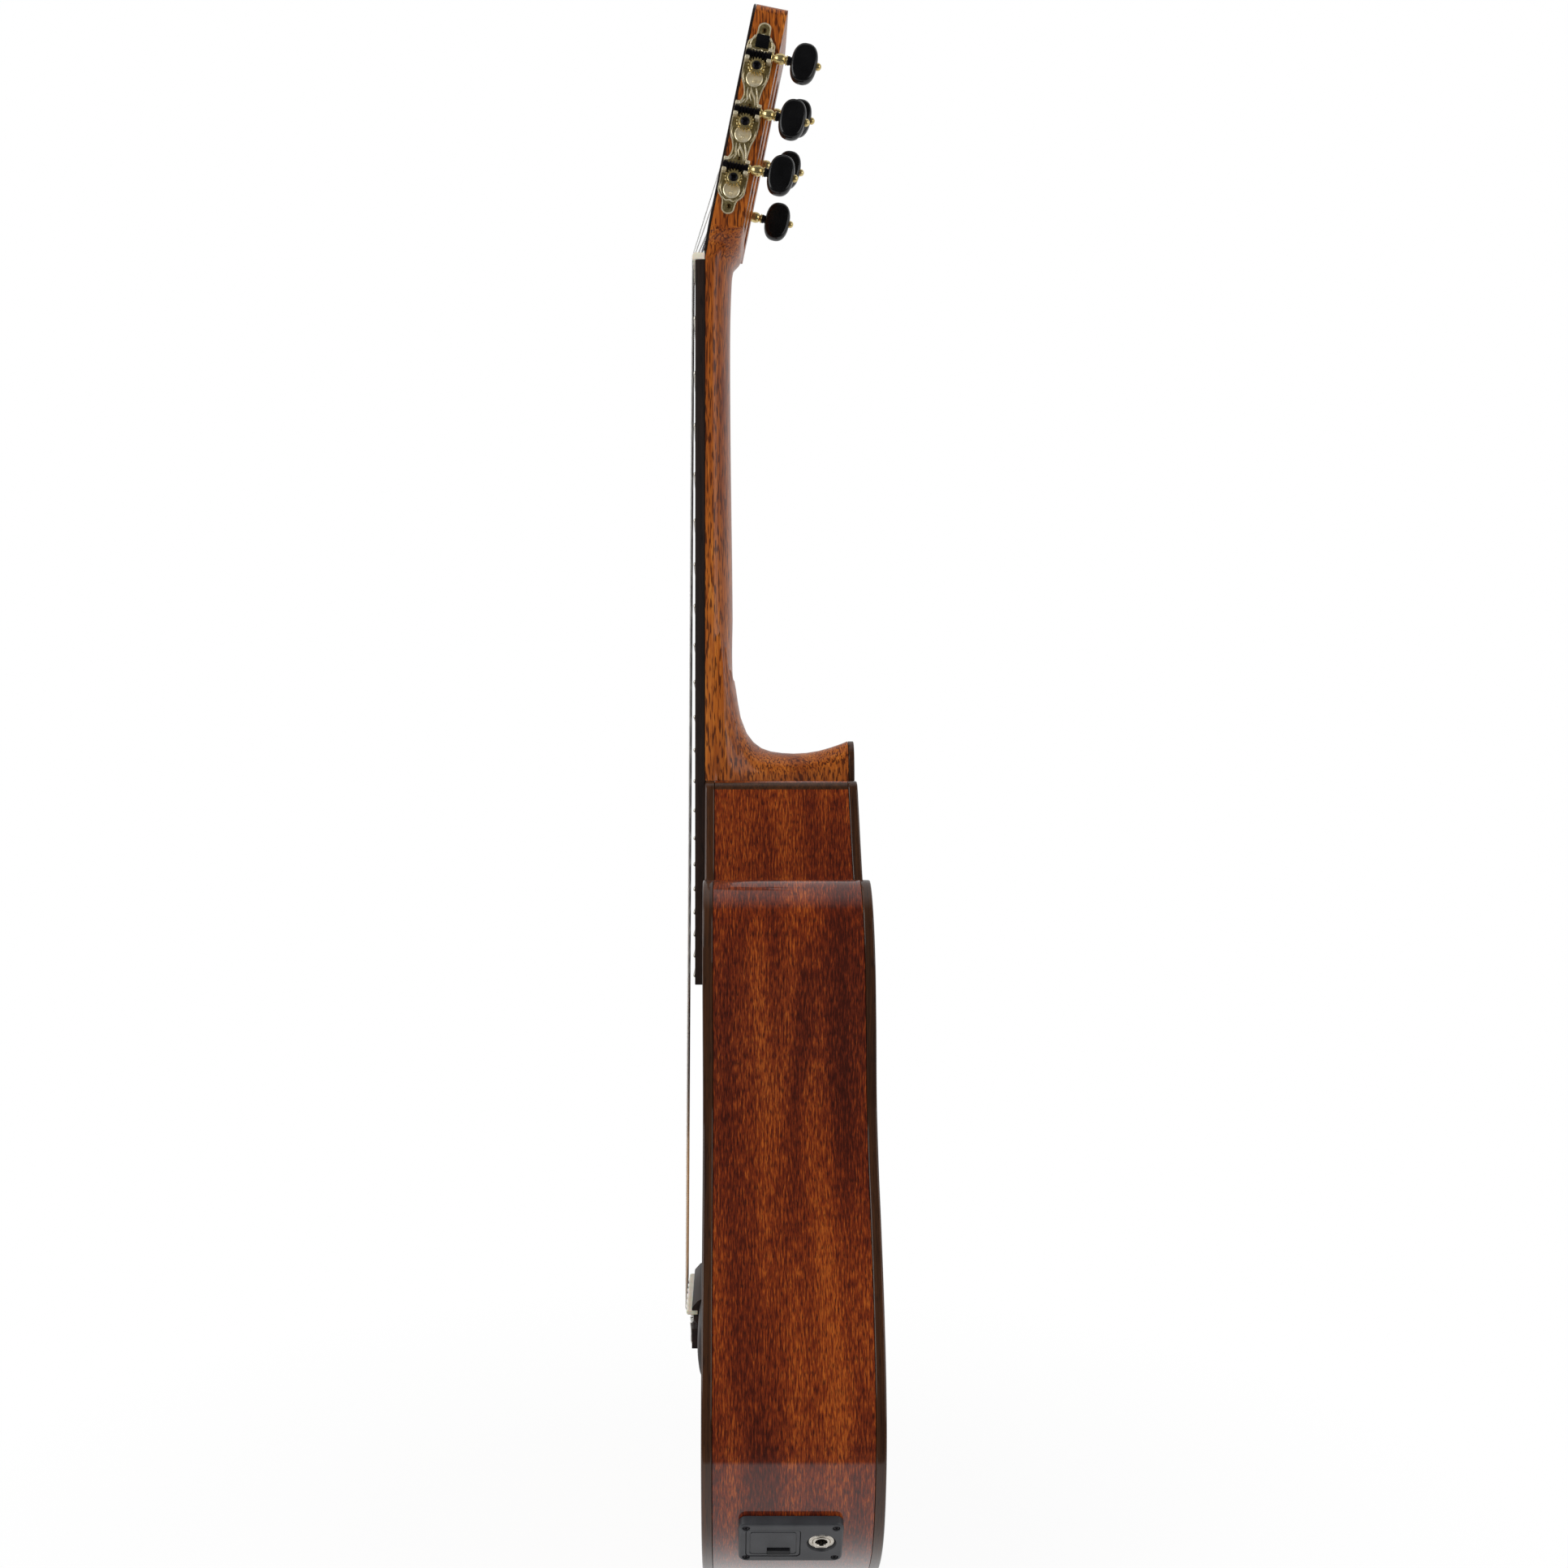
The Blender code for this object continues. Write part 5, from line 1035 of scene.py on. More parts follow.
# blends the corner where the neck runs into the heel
def softenHeel(bm):
    passes, longest, end = 14, 0.006, (backHeight(0, bodyTop) - 8) * mm
    long = [e for e in bm.edges if e.calc_length() > longest
            and all(v.co.z < -0.225 and v.co.x > 0.003 for v in e.verts)]
    bmesh.ops.subdivide_edges(bm, edges=long, cuts=1)
    near = [v for v in bm.verts if -0.3235 < v.co.z < -0.235 and 0.0035 < v.co.x < end]
    for _ in range(passes):
        bmesh.ops.smooth_vert(
            bm, verts=near, factor=0.5, use_axis_x=True, use_axis_y=True, use_axis_z=False)


# rounds the long edges where a flat of the head turns to its side or into a slot
def roundHead(piece, nearBack, radius):
    def change(bm):
        bmesh.ops.dissolve_limit(bm, angle_limit=math.radians(0.5), verts=bm.verts, edges=bm.edges)
        picked = []
        for edge in edgesBeyond(bm, 60):
            places = [v.co / mm - headFoot for v in edge.verts]
            if all(abs(p.dot(headBack) - nearBack) < 0.05 and p.dot(headUp) > 12 for p in places):
                picked.append(edge)
        rounded(bm, radius * mm, 4, picked)
    reshapePiece(piece, change)
    piece.data.shade_smooth()
    piece.data.set_sharp_from_angle(angle=math.radians(40))


def makeNeck():
    path = smoothPath([(d, deep, 0) for d, deep in neckDepths], 3)
    slab = headShape(7.0, neck["veneer"] + 0.3, neck["headThick"])
    for vert in slab.verts:  # its foot slants down to the nut at the front
        place = vert.co - headFoot
        up = place.dot(headUp)
        if up < 7.2 and place.dot(headBack) < 3:
            vert.co -= headUp * 6.5
        elif up < 20.5 and place.dot(headBack) > 15:  # and up to the back, where the neck runs out of it
            vert.co += headUp * (21.0 + 0.06 * up - up)
    head = finishPiece("neck", slab, neckWood, replaces="neck")
    for side in (-1, 1):
        cutPiece(head, slotShape(side, -5, 40))
    roundHead(head, neck["headThick"], neck["headRound"])
    cutPiece(head, bridgeRings([neckRing(p.x, p.y) for p in path]), "UNION")
    heights = [heelStart, 14, 18, 22, 26, 30, 35, 41, 48, 56, 64, 72, 80, 87, heelEnd]
    cutPiece(head, bridgeRings([heelRing(x) for x in heights]), "UNION")
    reshapePiece(head, softenHeel)
    cutPiece(head, boxShape((12.0, 104.0, 30.0), (-6.0, 0, -10.1)))  # what stood in front of the board's back
    for up in tuner["stations"]:
        for side in (-1, 1):
            place = plateFrame(side)
            place.translation = onHead(up, 0, tuner["depth"])
            cutPiece(head, placed(rodShape(3.3, 16.0, 50.0, 20), place))  # the axle's bore through the cheek
            cutPiece(head, placed(rodShape(2.1, 2.7, 11.0, 16), place))  # the pin's in the middle strip
    cap = heelRing(heelEnd)
    rings = [[p + Vector((0.3 + step, 0, 0)) for p in cap] for step in (0, neck["capThick"])]
    shape = rounded(bridgeRings(rings), 0.5, 2, angle=50)
    finishPiece("heelCap", shape, trimWood, replaces="heel_cap")


def makeVeneer():
    low = 4.9 / math.cos(headTilt) + 0.5  # its foot, just above the nut
    veneer = finishPiece("headVeneer", headShape(low, 0.0, neck["veneer"]), veneerWood,
                         replaces="head_veneer")
    for side in (-1, 1):
        cutPiece(veneer, slotShape(side, -5, 40))
    roundHead(veneer, 0.0, 0.5)


# a fret wire's crowned section on the board, drawn out across it and bevelled at its ends
def fretShape(d):
    half, wide, tall = boardHalf(d) - 0.15, neck["fretWide"] / 2, neck["fretTall"]
    crown = [math.pi * k / 10 for k in range(1, 10)]
    section = [(0.0, -wide), (0.0, wide)] + [(tall * math.sin(a) ** 0.8, wide * math.cos(a)) for a in crown]
    def ring(y, height):
        return [Vector((boardFace + 0.05 - rise * height, y, -d + along)) for rise, along in section]
    return bridgeRings([ring(-half, 0.35), ring(-half + 0.6, 1.0), ring(half - 0.6, 1.0), ring(half, 0.35)])


def makeFingerboard():
    rings = []
    for d in (0.3, bodyTop, neck["boardLength"]):
        half = boardHalf(d)
        corners = (boardBack, -half), (boardBack, half), (boardFace, half), (boardFace, -half)
        rings.append([Vector((x, y, -d)) for x, y in corners])
    board = bridgeRings(rings)
    long = [e for e in edgesBeyond(board, 60) if e.verts[0].co.x < -6 and e.verts[1].co.x < -6]
    rounded(board, 0.5, 3, long)
    finishPiece("fingerboard", board, boardWood, replaces="fingerboard")
    frets = bmesh.new()
    for n in range(1, neck["frets"] + 1):
        addCopy(frets, fretShape(scaleLength * (1 - 2 ** (-n / 12))))
    finishPiece("fretWires", frets, nickelSilver, replaces="fingerboard", angle=50)


makeNeck()
makeVeneer()
makeFingerboard()
print("neck made")


# Nut, bridge, saddle and strings

bridge = {
    "front": 643.0, "long": 30.0, "block": 84.0, "wings": 188.0, "height": 8.0, "wing": 4.0,
    "saddleThick": 3.0, "saddleHeight": 11.4, "slotFloor": 2.6, "tie": 12.0, "hole": 4.4, "well": 3.4,
    "pickup": 1.2, "base": -0.3,
}
strings = {
    "diameters": (0.72, 0.82, 1.02, 0.74, 0.90, 1.10), "nutSpread": 43.0, "bridgeSpread": 58.0,
    "nutHeight": 8.2, "turns": 2.5, "starts": (17.0, 14.5, 12.5), "barrel": 4.9,
    "gap": 0.3, "perTurn": 20,
}


def stringAcross(number, spread):
    return spread * ((number - 1) / 5 - 0.5)


# the string's way from the tie, over saddle and nut, to its turns on the roller
def stringRoute(number):
    diameter = strings["diameters"][number - 1]
    radius, gap = diameter / 2, strings["gap"]
    side = -1 if number <= 3 else 1
    rank = number - 1 if number <= 3 else 6 - number
    y, nutY = (stringAcross(number, strings[key]) for key in ("bridgeSpread", "nutSpread"))
    back = bridge["front"] + bridge["long"]
    front = back - bridge["tie"]
    over, saddle = -bridge["height"] - gap - radius, -bridge["saddleHeight"] - gap - radius
    hole, behind = -bridge["hole"], -back - radius - gap - 0.3
    route = [
        (over + 1.6, y + 0.9, -front + 1.9), (over + 0.3, y + 0.7, -front + 0.7),
        (over, y + 0.35, -front - 1.0), (over - 0.1, y, -front - 4.0), (over, y, -back + 3.0),
        (over, y, -back + 0.9), (over + 0.5, y, behind + 0.3), (over + 1.6, y, behind),
        (hole - 1.2, y, behind), (hole - 0.3, y, behind + 0.35), (hole, y, -back + 0.8),
        (hole, y, -back + 4.0), (hole, y, -front - 1.0), (hole - 0.2, y, -front + 0.8),
    ]
    rise = Vector((saddle, y, -(scaleLength + bridge["saddleThick"] - 0.4)))
    foot = Vector(route[-1])
    route += [tuple(foot.lerp(rise, s)) for s in (0.33, 0.66, 0.92)]
    route += [(saddle - 0.05, y, -scaleLength - 1.4), (saddle, y, -scaleLength + 0.4)]
    ends = Vector((saddle, y, -scaleLength)), Vector((-strings["nutHeight"], nutY, 0.0))
    route += [tuple(ends[0].lerp(ends[1], s)) for s in (0.02, 0.25, 0.5, 0.75, 0.98)]
    route += [(-strings["nutHeight"], nutY, 0.4), (-strings["nutHeight"], nutY, 3.2)]
    path = smoothPath(route, 4)
    centre = onHead(tuner["stations"][rank], 0, tuner["depth"])
    wound = strings["barrel"] + gap + radius
    start = Vector((path[-1].x - centre.x, path[-1].z - centre.z))
    angle = math.atan2(start.y, start.x) - math.acos(wound / start.length)
    pitch = diameter + gap + 0.2
    coils = []
    for step in range(round(strings["turns"] * strings["perTurn"]) + 1):
        turns = step / strings["perTurn"]
        x, z = polar(wound, angle - math.tau * turns)
        coils.append(Vector((centre.x + x, side * (strings["starts"][rank] + pitch * turns), centre.z + z)))
    return path + [path[-1].lerp(coils[0], s) for s in (0.04, 0.3, 0.6, 0.9)] + coils


# the tail that twists under its own string and lies along the tie block
def tailRoute(number):
    diameter = strings["diameters"][number - 1]
    y = stringAcross(number, strings["bridgeSpread"])
    back = bridge["front"] + bridge["long"]
    front = back - bridge["tie"]
    top = -bridge["height"] - strings["gap"] - diameter / 2
    points = []
    for step in range(15):  # one and a half turns round the string, before the block
        a = math.tau * (0.25 + 1.5 * step / 14)
        along = step / 14
        centre = Vector((top + 1.4 - 1.2 * along, y, -front + 3.2 - 3.4 * along))
        points.append(centre + 1.02 * diameter * Vector((math.sin(a), math.cos(a), 0)))
    points += [(top - 0.2, y - 1.2, -front - 2.5), (top, y - 1.5, -front - 6.0), (top, y - 1.5, -back + 1.0),
               (top + 1.1, y - 1.5, -back - 0.9), (top + 3.0, y - 1.4, -back - 1.1)]
    return smoothPath(points, 2)


def makeStrings():
    for number, diameter in enumerate(strings["diameters"], 1):
        long, tail = (clearNylon, braidedEnd) if number <= 3 else (woundSilver, woundSilver)
        finishPiece(
            f"string_{number}", tubeShape(stringRoute(number), diameter / 2, 10), long,
            replaces=f"string_{number}", angle=60, merge=0.0001)
        finishPiece(
            f"stringTie_{number}", tubeShape(tailRoute(number), diameter / 2, 8), tail,
            angle=60, merge=0.0001)


# the bridge's block: front slope, saddle slot, ramp down to the tie well, tie block
def makeBridge():
    base, height = bridge["base"], bridge["height"]
    front, back = bridge["front"], bridge["front"] + bridge["long"]
    tie = back - bridge["tie"]
    slotFront, slotBack = scaleLength - 0.3, scaleLength + bridge["saddleThick"] + 0.3
    floor, well = -bridge["slotFloor"], -bridge["well"]
    profile = [
        (base, front), (-2.6, front), (-4.4, front + 0.9), (-height + 0.9, slotFront - 2.8),
        (-height + 0.2, slotFront - 2.0), (-height, slotFront - 1.0), (-height, slotFront),
        (floor, slotFront), (floor, slotBack), (-height + 1.0, slotBack), (-height + 1.0, slotBack + 1.6),
        (-height + 1.8, slotBack + 2.6), (well - 0.4, tie - 1.8), (well, tie - 0.9), (well, tie),
        (-height, tie), (-height, back), (base, back),
    ]
    half = bridge["block"] / 2
    block = extrudedShape(profile, -half, half, lambda x, d, y: Vector((x, y, -d)))
    piece = finishPiece("bridge", block, bridgeWood, replaces="bridge")

    def softenBlock(bm):  # all its upper edges but the saddle slot's
        rounded(bm, 0.5 * mm, 3, [
            e for e in edgesBeyond(bm, 50) if all(v.co.x < -3.6 * mm for v in e.verts)
            and not all(abs(v.co.z + scaleLength * mm + 0.0015) < 0.0021 for v in e.verts)])

    reshapePiece(piece, softenBlock)
    ends = ((1.0, 0.35), (0.985, 0.62), (0.95, 0.82), (0.88, 0.95), (0.7, 1.0), (0.3, 1.0))
    rings = []
    for share, crown in [(-share, crown) for share, crown in ends] + list(ends[::-1]):
        tall = bridge["wing"] * crown
        ring = [(base, front), (-0.35 * tall - 0.3, front)]
        for step in range(1, 12):
            a = math.pi * step / 12
            d = front + bridge["long"] / 2 * (1 - math.cos(a))
            ring.append((-0.35 * tall - 0.65 * tall * math.sin(a), d))
        ring += [(-0.35 * tall - 0.3, back), (base, back)]
        rings.append([Vector((x, share * bridge["wings"] / 2, -d)) for x, d in ring])
    cutPiece(piece, bridgeRings(rings), "UNION")
    cutPiece(piece, boxShape(
        (20.0, bridge["block"] - 3.4, bridge["saddleThick"] + 0.6),
        (floor - 10.0, 0, -(scaleLength + bridge["saddleThick"] / 2))))
    holes = bmesh.new()
    for number, diameter in enumerate(strings["diameters"], 1):
        place = Matrix.Translation((-bridge["hole"], stringAcross(number, strings["bridgeSpread"]), 0))
        addCopy(holes, rodShape(diameter / 2 + 0.3, -back - 3.0, -tie + 4.0, 14), place)
    cutPiece(piece, holes)


# a cream strip with a rounded top edge, drawn out across the guitar
def creamStrip(name, node, section, half, grooves=()):
    shape = extrudedShape(section, -half, half, lambda x, z, y: Vector((x, y, z)))
    ends = [e for e in edgesBeyond(shape, 60) if abs(e.verts[0].co.y - e.verts[1].co.y) < 0.01]
    rounded(shape, 0.4, 3, ends)
    piece = finishPiece(name, shape, boneResin, replaces=node)
    if grooves:
        cutter = bmesh.new()
        for y, radius in grooves:
            place = Matrix.Translation((-strings["nutHeight"], y, 0))
            addCopy(cutter, rodShape(radius, -3.0, 9.0, 12), place)
        cutPiece(piece, cutter)


def makeCream():
    top = -strings["nutHeight"]
    nut = [
        (-0.3, 0.3), (top + 0.5, 0.3), (top + 0.1, 0.6), (top, 1.1), (top + 0.05, 2.0), (top + 0.35, 3.2),
        (top + 1.1, 4.2), (top + 1.8, 4.6), (-0.3, 4.6)]
    grooves = [(stringAcross(number, strings["nutSpread"]), diameter / 2 + 0.12)
               for number, diameter in enumerate(strings["diameters"], 1)]
    creamStrip("nut", "nut", nut, 25.5, grooves)
    low, high = -bridge["slotFloor"] - 0.6 - bridge["pickup"], -bridge["saddleHeight"]
    front, back = -scaleLength, -scaleLength - bridge["saddleThick"]
    arch = [polar(1.5, math.pi * k / 10) for k in range(11)]
    crown = [(high + 1.5 - b, (front + back) / 2 + a) for a, b in arch]
    creamStrip("saddle", "saddle", [(low, front), *crown, (low, back)], bridge["block"] / 2 - 2.0)


makeBridge()
makeCream()
makeStrings()
print("strings made")


# Jack plate with its housing, battery drawer, latch and output jack

jack = {
    "long": 56.0, "high": 36.0, "proud": 3.0, "corner": 4.0, "edge": 1.5, "housing": (50.0, 25.0, 54.0),
    "wall": 1.6, "door": (29.0, 25.0), "doorAt": -9.5, "doorCorner": 2.2, "sunk": 0.2,
    "trayIn": (1.6, 3.2), "socketAt": 16.5, "recess": (7.75, 0.6),
    "barrel": 4.7, "bore": 3.2, "nut": (6.6, 0.9, 2.3), "screwIn": (4.0, 4.0), "screw": 1.9, "gap": 0.3,
    "cavity": (15.0, 15.9), "battery": (17.0, 25.0, 45.0), "batteryFloor": 1.8, "latchAt": (-6.5, -8.3),
}


# a rectangle with rounded corners
def roundedOutline(long, high, corner):
    steps = 6  # round each corner
    points = []
    for turn, (sx, sy) in enumerate(((1, 1), (-1, 1), (-1, -1), (1, -1))):
        for step in range(steps + 1):
            a = math.radians(90 * turn + 90 * step / steps)
            across, up = polar(corner, a)
            points.append((sx * (long / 2 - corner) + across, sy * (high / 2 - corner) + up))
    return points


# a slab with a rounded outline whose front edge rolls over
def softSlab(long, high, corner, low, top, edge, centre=0.0):
    steps = 5  # over the edge
    rings = [[Vector((a + centre, b, low)) for a, b in roundedOutline(long, high, corner)]]
    for step in range(steps + 1):
        turn = math.pi / 2 * step / steps
        cut = edge * (1 - math.cos(turn))
        height = top - edge + edge * math.sin(turn)
        outer = roundedOutline(long - 2 * cut, high - 2 * cut, corner)
        rings.append([Vector((a + centre, b, height)) for a, b in outer])
    return bridgeRings(rings)


def onJack(bm):
    return placed(bm, jackFrame)


# a bmesh at the socket's place on the plate
def atSocket(bm):
    return onJack(placed(bm, Matrix.Translation((jack["socketAt"], 0, 0))))


def makeJackPlate():
    gap = jack["gap"]
    plate = onJack(softSlab(jack["long"], jack["high"], jack["corner"], -9.0, jack["proud"], jack["edge"]))
    piece = finishPiece("jackPlate", plate, greyAbs, replaces="jack_plate")
    inside = bridgeRings([[onBody(p, x) for p in insetOutline(-gap)] for x in (-20.0, body["depth"] + 20.0)])
    cutPiece(piece, inside)  # it follows the side's curve
    wide, tall, deep = jack["housing"]
    cutPiece(piece, onJack(boxShape((wide, tall, deep + 1.2), (0, 0, (1.2 - deep) / 2))), "UNION")
    long, high = jack["door"]
    floor = jack["recess"][1]
    endIn, sideIn = jack["trayIn"]
    well = boxShape(
        (long - endIn + 2 * gap, high - sideIn + 2 * gap, 10.0 + deep - jack["wall"]),
        (jack["doorAt"], 0, (10.0 - deep + jack["wall"]) / 2))
    cutPiece(piece, onJack(well))  # the drawer's way in
    pocket = softSlab(
        long + 2 * gap, high + 2 * gap, jack["doorCorner"] + gap, floor, 12.0, 0.2, jack["doorAt"])
    cutPiece(piece, onJack(pocket))  # the seat of its door
    radius = jack["recess"][0]
    ring = [
        (0, floor), (radius - 1.2, floor), (radius - 0.5, floor + 0.25), (radius, floor + 0.9), (radius, 2.5),
        (radius + 0.3, 3.0), (radius + 0.3, 9.0), (0, 9.0)]
    cutPiece(piece, atSocket(turnedShape(ring, 48)))  # the socket's recess and its bore
    cutPiece(piece, atSocket(rodShape(jack["barrel"] + gap, -10.0, 5.0, 32)))
    cavity, middle = jack["cavity"]  # room for the socket's body behind the plate
    cutPiece(piece, onJack(boxShape((cavity, tall - 2 * jack["wall"], deep), (middle, 0, -2.5 - deep / 2))))
    insetA, insetB = jack["screwIn"]
    radius = jack["screw"]
    section = [
        (0, 1.6), (radius + 0.1, 1.6), (radius + 0.15, 2.7), (radius + 0.55, 3.1), (radius + 0.55, 5.0),
        (0, 5.0)]
    seats, heads = bmesh.new(), bmesh.new()
    for a in (-1, 1):
        for b in (-1, 1):
            spot = Matrix.Translation((a * (jack["long"] / 2 - insetA), b * (jack["high"] / 2 - insetB), 0))
            addCopy(seats, turnedShape(section, 24), spot)
            turn = Matrix.Rotation(math.radians(20 + 30 * a + 12 * b), 4, "Z")
            addCopy(heads, screwShape(radius, 0.95), spot @ Matrix.Translation((0, 0, 1.75)) @ turn)
    cutPiece(piece, onJack(seats))
    finishPiece("jackPlateScrews", onJack(heads), blackSteel, angle=50)


def makeDrawer():
    gap, deep, wall = jack["gap"], jack["housing"][2], jack["wall"]
    long, high = jack["door"]
    endIn, sideIn = jack["trayIn"]
    tray = deep - wall - gap
    shape = boxShape((long - endIn, high - sideIn, tray + 1.5), (jack["doorAt"], 0, (1.5 - tray) / 2), 0.4)
    piece = finishPiece(
        "batteryDrawer", onJack(shape), greyAbs, body="drawer", replaces="battery_drawer")
    face = jack["proud"] - jack["sunk"]
    door = softSlab(long, high, jack["doorCorner"], jack["recess"][1] + gap, face, 0.35, jack["doorAt"])
    cutPiece(piece, onJack(door), "UNION")
    # a fine groove inside the door's edge, from one slab less a smaller one
    groove = softSlab(long - 3.6, high - 3.6, 1.8, face - 0.3, face + 2.0, 0.1, jack["doorAt"])
    keep = softSlab(long - 4.9, high - 4.9, 1.4, face - 1.0, face + 3.0, 0.1, jack["doorAt"])
    groovePiece = finishPiece("groove", onJack(groove), greyAbs, body="drawer")
    cutPiece(groovePiece, onJack(keep))
    cutter = bmesh.new()
    cutter.from_mesh(groovePiece.data)
    bmesh.ops.scale(cutter, vec=(1 / mm, 1 / mm, 1 / mm), verts=cutter.verts)
    bpy.data.objects.remove(groovePiece)
    cutPiece(piece, cutter)
    thick, wide, tall = jack["battery"]
    middle, floor = -tray + jack["batteryFloor"] + gap + tall / 2, jack["batteryFloor"] - (high - sideIn) / 2
    pocket = boxShape(
        (wide + 2 * gap, thick + 20.0, tall + 2 * gap), (jack["doorAt"], floor + 10.0 + thick / 2, middle))
    cutPiece(piece, onJack(pocket))  # the battery's bay, open at the top
    shell = boxShape(
        (wide, thick, tall - 1.6), (jack["doorAt"], gap + floor + thick / 2, middle - 0.8), 1.4, 3)
    a, b = jack["latchAt"]
    floor = jack["proud"] - 1.4  # of the latch's seat in the door
    cutPiece(piece, onJack(boxShape((12.6, 4.6 + 1.5, 4.0), (a, b + 0.75, floor + 2.0))))
    low, top = floor + gap, floor + gap + 2.4
    # its finger ridge in front, and a shallow hollow behind
    section = [
        (-2.0, low), (-2.0, top - 0.7), (-1.7, top - 0.35), (-1.1, top - 0.05), (-0.7, top),
        (-0.4, top - 0.1), (0.1, top - 0.7), (0.6, top - 0.85), (1.2, top - 0.75), (1.7, top - 0.5),
        (2.0, top - 0.7), (2.0, low)]
    latch = extrudedShape(section, -6.0, 6.0, lambda s, c, t: Vector((a + t, b + s, c)))
    ends = [e for e in edgesBeyond(latch, 60) if abs(e.verts[0].co.x - e.verts[1].co.x) < 0.01
            and min(v.co.z for v in e.verts) > low + 0.2]
    rounded(latch, 0.3, 2, ends)
    finishPiece(
        "drawerLatch", onJack(latch), blackAbs, body="latch", replaces="drawer_latch")
    finishPiece(
        "battery", onJack(shell), batterySleeve, body="drawer", replaces="battery_9v")


def makeSocket():
    barrel, bore, pitch = jack["barrel"], jack["bore"], 0.7
    profile = [
        (bore, -26.0), (bore, 2.1), (bore + 0.25, 2.5), (bore + 0.6, 2.6), (barrel - 0.3, 2.6), (barrel, 2.3)]
    for step in range(6):  # thread rings
        profile += [(barrel, 2.0 - pitch * step), (barrel - 0.25, 1.65 - pitch * step)]
    profile += [(barrel, -3.0), (barrel, -28.0), (0, -28.0), (0, -26.0), (bore, -26.0)]
    finishPiece("outputJack", atSocket(turnedShape(profile, 40)), nickelPlate,
                replaces="output_jack", angle=30)
    radius, low, high = jack["nut"]
    layers = ((radius - 0.35, low), (radius, low + 0.25), (radius, high - 0.3), (radius - 0.45, high))
    nut = bridgeRings([circleRing(size, height, 6) for size, height in layers])
    piece = finishPiece("jackNut", atSocket(nut), nickelPlate,
                        replaces="jack_nut", angle=25)
    rim = radius + 0.5
    washer = turnedShape([
        (barrel + 0.1, low), (rim - 0.1, low), (rim, low + 0.15), (rim, low + 0.6), (rim - 0.35, low + 0.95),
        (barrel + 0.1, low + 1.05), (barrel + 0.1, low)], 48)
    finishPiece("jackWasher", atSocket(washer), nickelPlate, angle=25)
    hole = turnedShape([
        (0, 0.0), (barrel + 0.05, 0.0), (barrel + 0.05, high - 0.4), (barrel + 0.5, high + 0.1),
        (barrel + 0.5, 5.0), (0, 5.0)], 32)
    cutPiece(piece, atSocket(hole), angle=25)


makeJackPlate()
makeDrawer()
makeSocket()
print("jack plate made")


# Nodes of the model that show as they are, or lie inside, with their finishes

carried = {
    liningWood: ("front_lining", "back_lining", "neck_block", "tail_block"),
    braceWood: (
        "upper_harmonic_bar", "fan_bracing", "back_brace_upper", "back_brace_middle", "back_brace_lower"),
    blackAbs: ("undersaddle_pickup",),
    circuitBoard: ("preamp_board",),
}
for material, nodes in carried.items():
    for node in nodes:
        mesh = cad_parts[node].data
        mesh.materials.clear()
        mesh.materials.append(material)

# Floor, light and camera

studio = {
    "camera": (0.0156, -1.050, -0.3439), "lens": 37.76, "shift": (0.0342, 0.0176), "target": (0.04, 0, -0.34),
    "keyPower": 16.0, "fillPower": 9.0, "topPower": 7.0, "backPower": 5.0, "worldFill": 0.42,
    "glossWhite": 0.72, "darkSide": 0.03, "darkEdge": (-0.34, -0.18), "paleAbove": (0.80, 1.0),
    "floorHalf": 6.0, "floorWhite": 0.94, "floorGrey": 0.85, "floorGloss": 0.8, "floorEdge": -0.325,
    "shadowReach": (0.2, 0.55),
}


# white behind the object, and a studio whose camera side is dark for the gloss
def makeWorld():
    world = bpy.data.worlds.new("studio")
    world.use_nodes = True
    bpy.context.scene.world = world
    tree = world.node_tree
    tree.nodes.clear()
    way = addNode(tree, "TexCoord").outputs["Generated"]
    parts = addNode(tree, "SeparateXYZ", {"Vector": way})
    low, high = studio["darkEdge"]
    front = addNode(tree, "MapRange", {
        "Value": parts.outputs["Y"], "From Min": low, "From Max": high,
        "To Min": studio["darkSide"], "To Max": 1.0})
    low, high = studio["paleAbove"]
    above = addNode(tree, "MapRange", {
        "Value": parts.outputs["Z"], "From Min": low, "From Max": high, "To Min": 0.0, "To Max": 1.0})
    seen = addNode(
        tree, "Math", {0: front.outputs["Result"], 1: above.outputs["Result"]}, operation="MAXIMUM")
    path = addNode(tree, "LightPath")
    gloss = addNode(tree, "Background", {"Color": seen.outputs[0], "Strength": studio["glossWhite"]})
    plain = addNode(tree, "Background", {"Color": (1, 1, 1, 1), "Strength": 1.0})
    fill = addNode(tree, "Background", {"Color": (1, 1, 1, 1), "Strength": studio["worldFill"]})
    glossOrFill = addNode(tree, "MixShader", {
        0: path.outputs["Is Glossy Ray"], 1: fill.outputs[0], 2: gloss.outputs[0]})
    clear = addNode(tree, "Math", {
        0: path.outputs["Is Camera Ray"], 1: path.outputs["Is Transmission Ray"]}, operation="MAXIMUM")
    mixed = addNode(tree, "MixShader", {0: clear.outputs[0], 1: glossOrFill.outputs[0], 2: plain.outputs[0]})
    addNode(tree, "OutputWorld", {"Surface": mixed.outputs[0]})


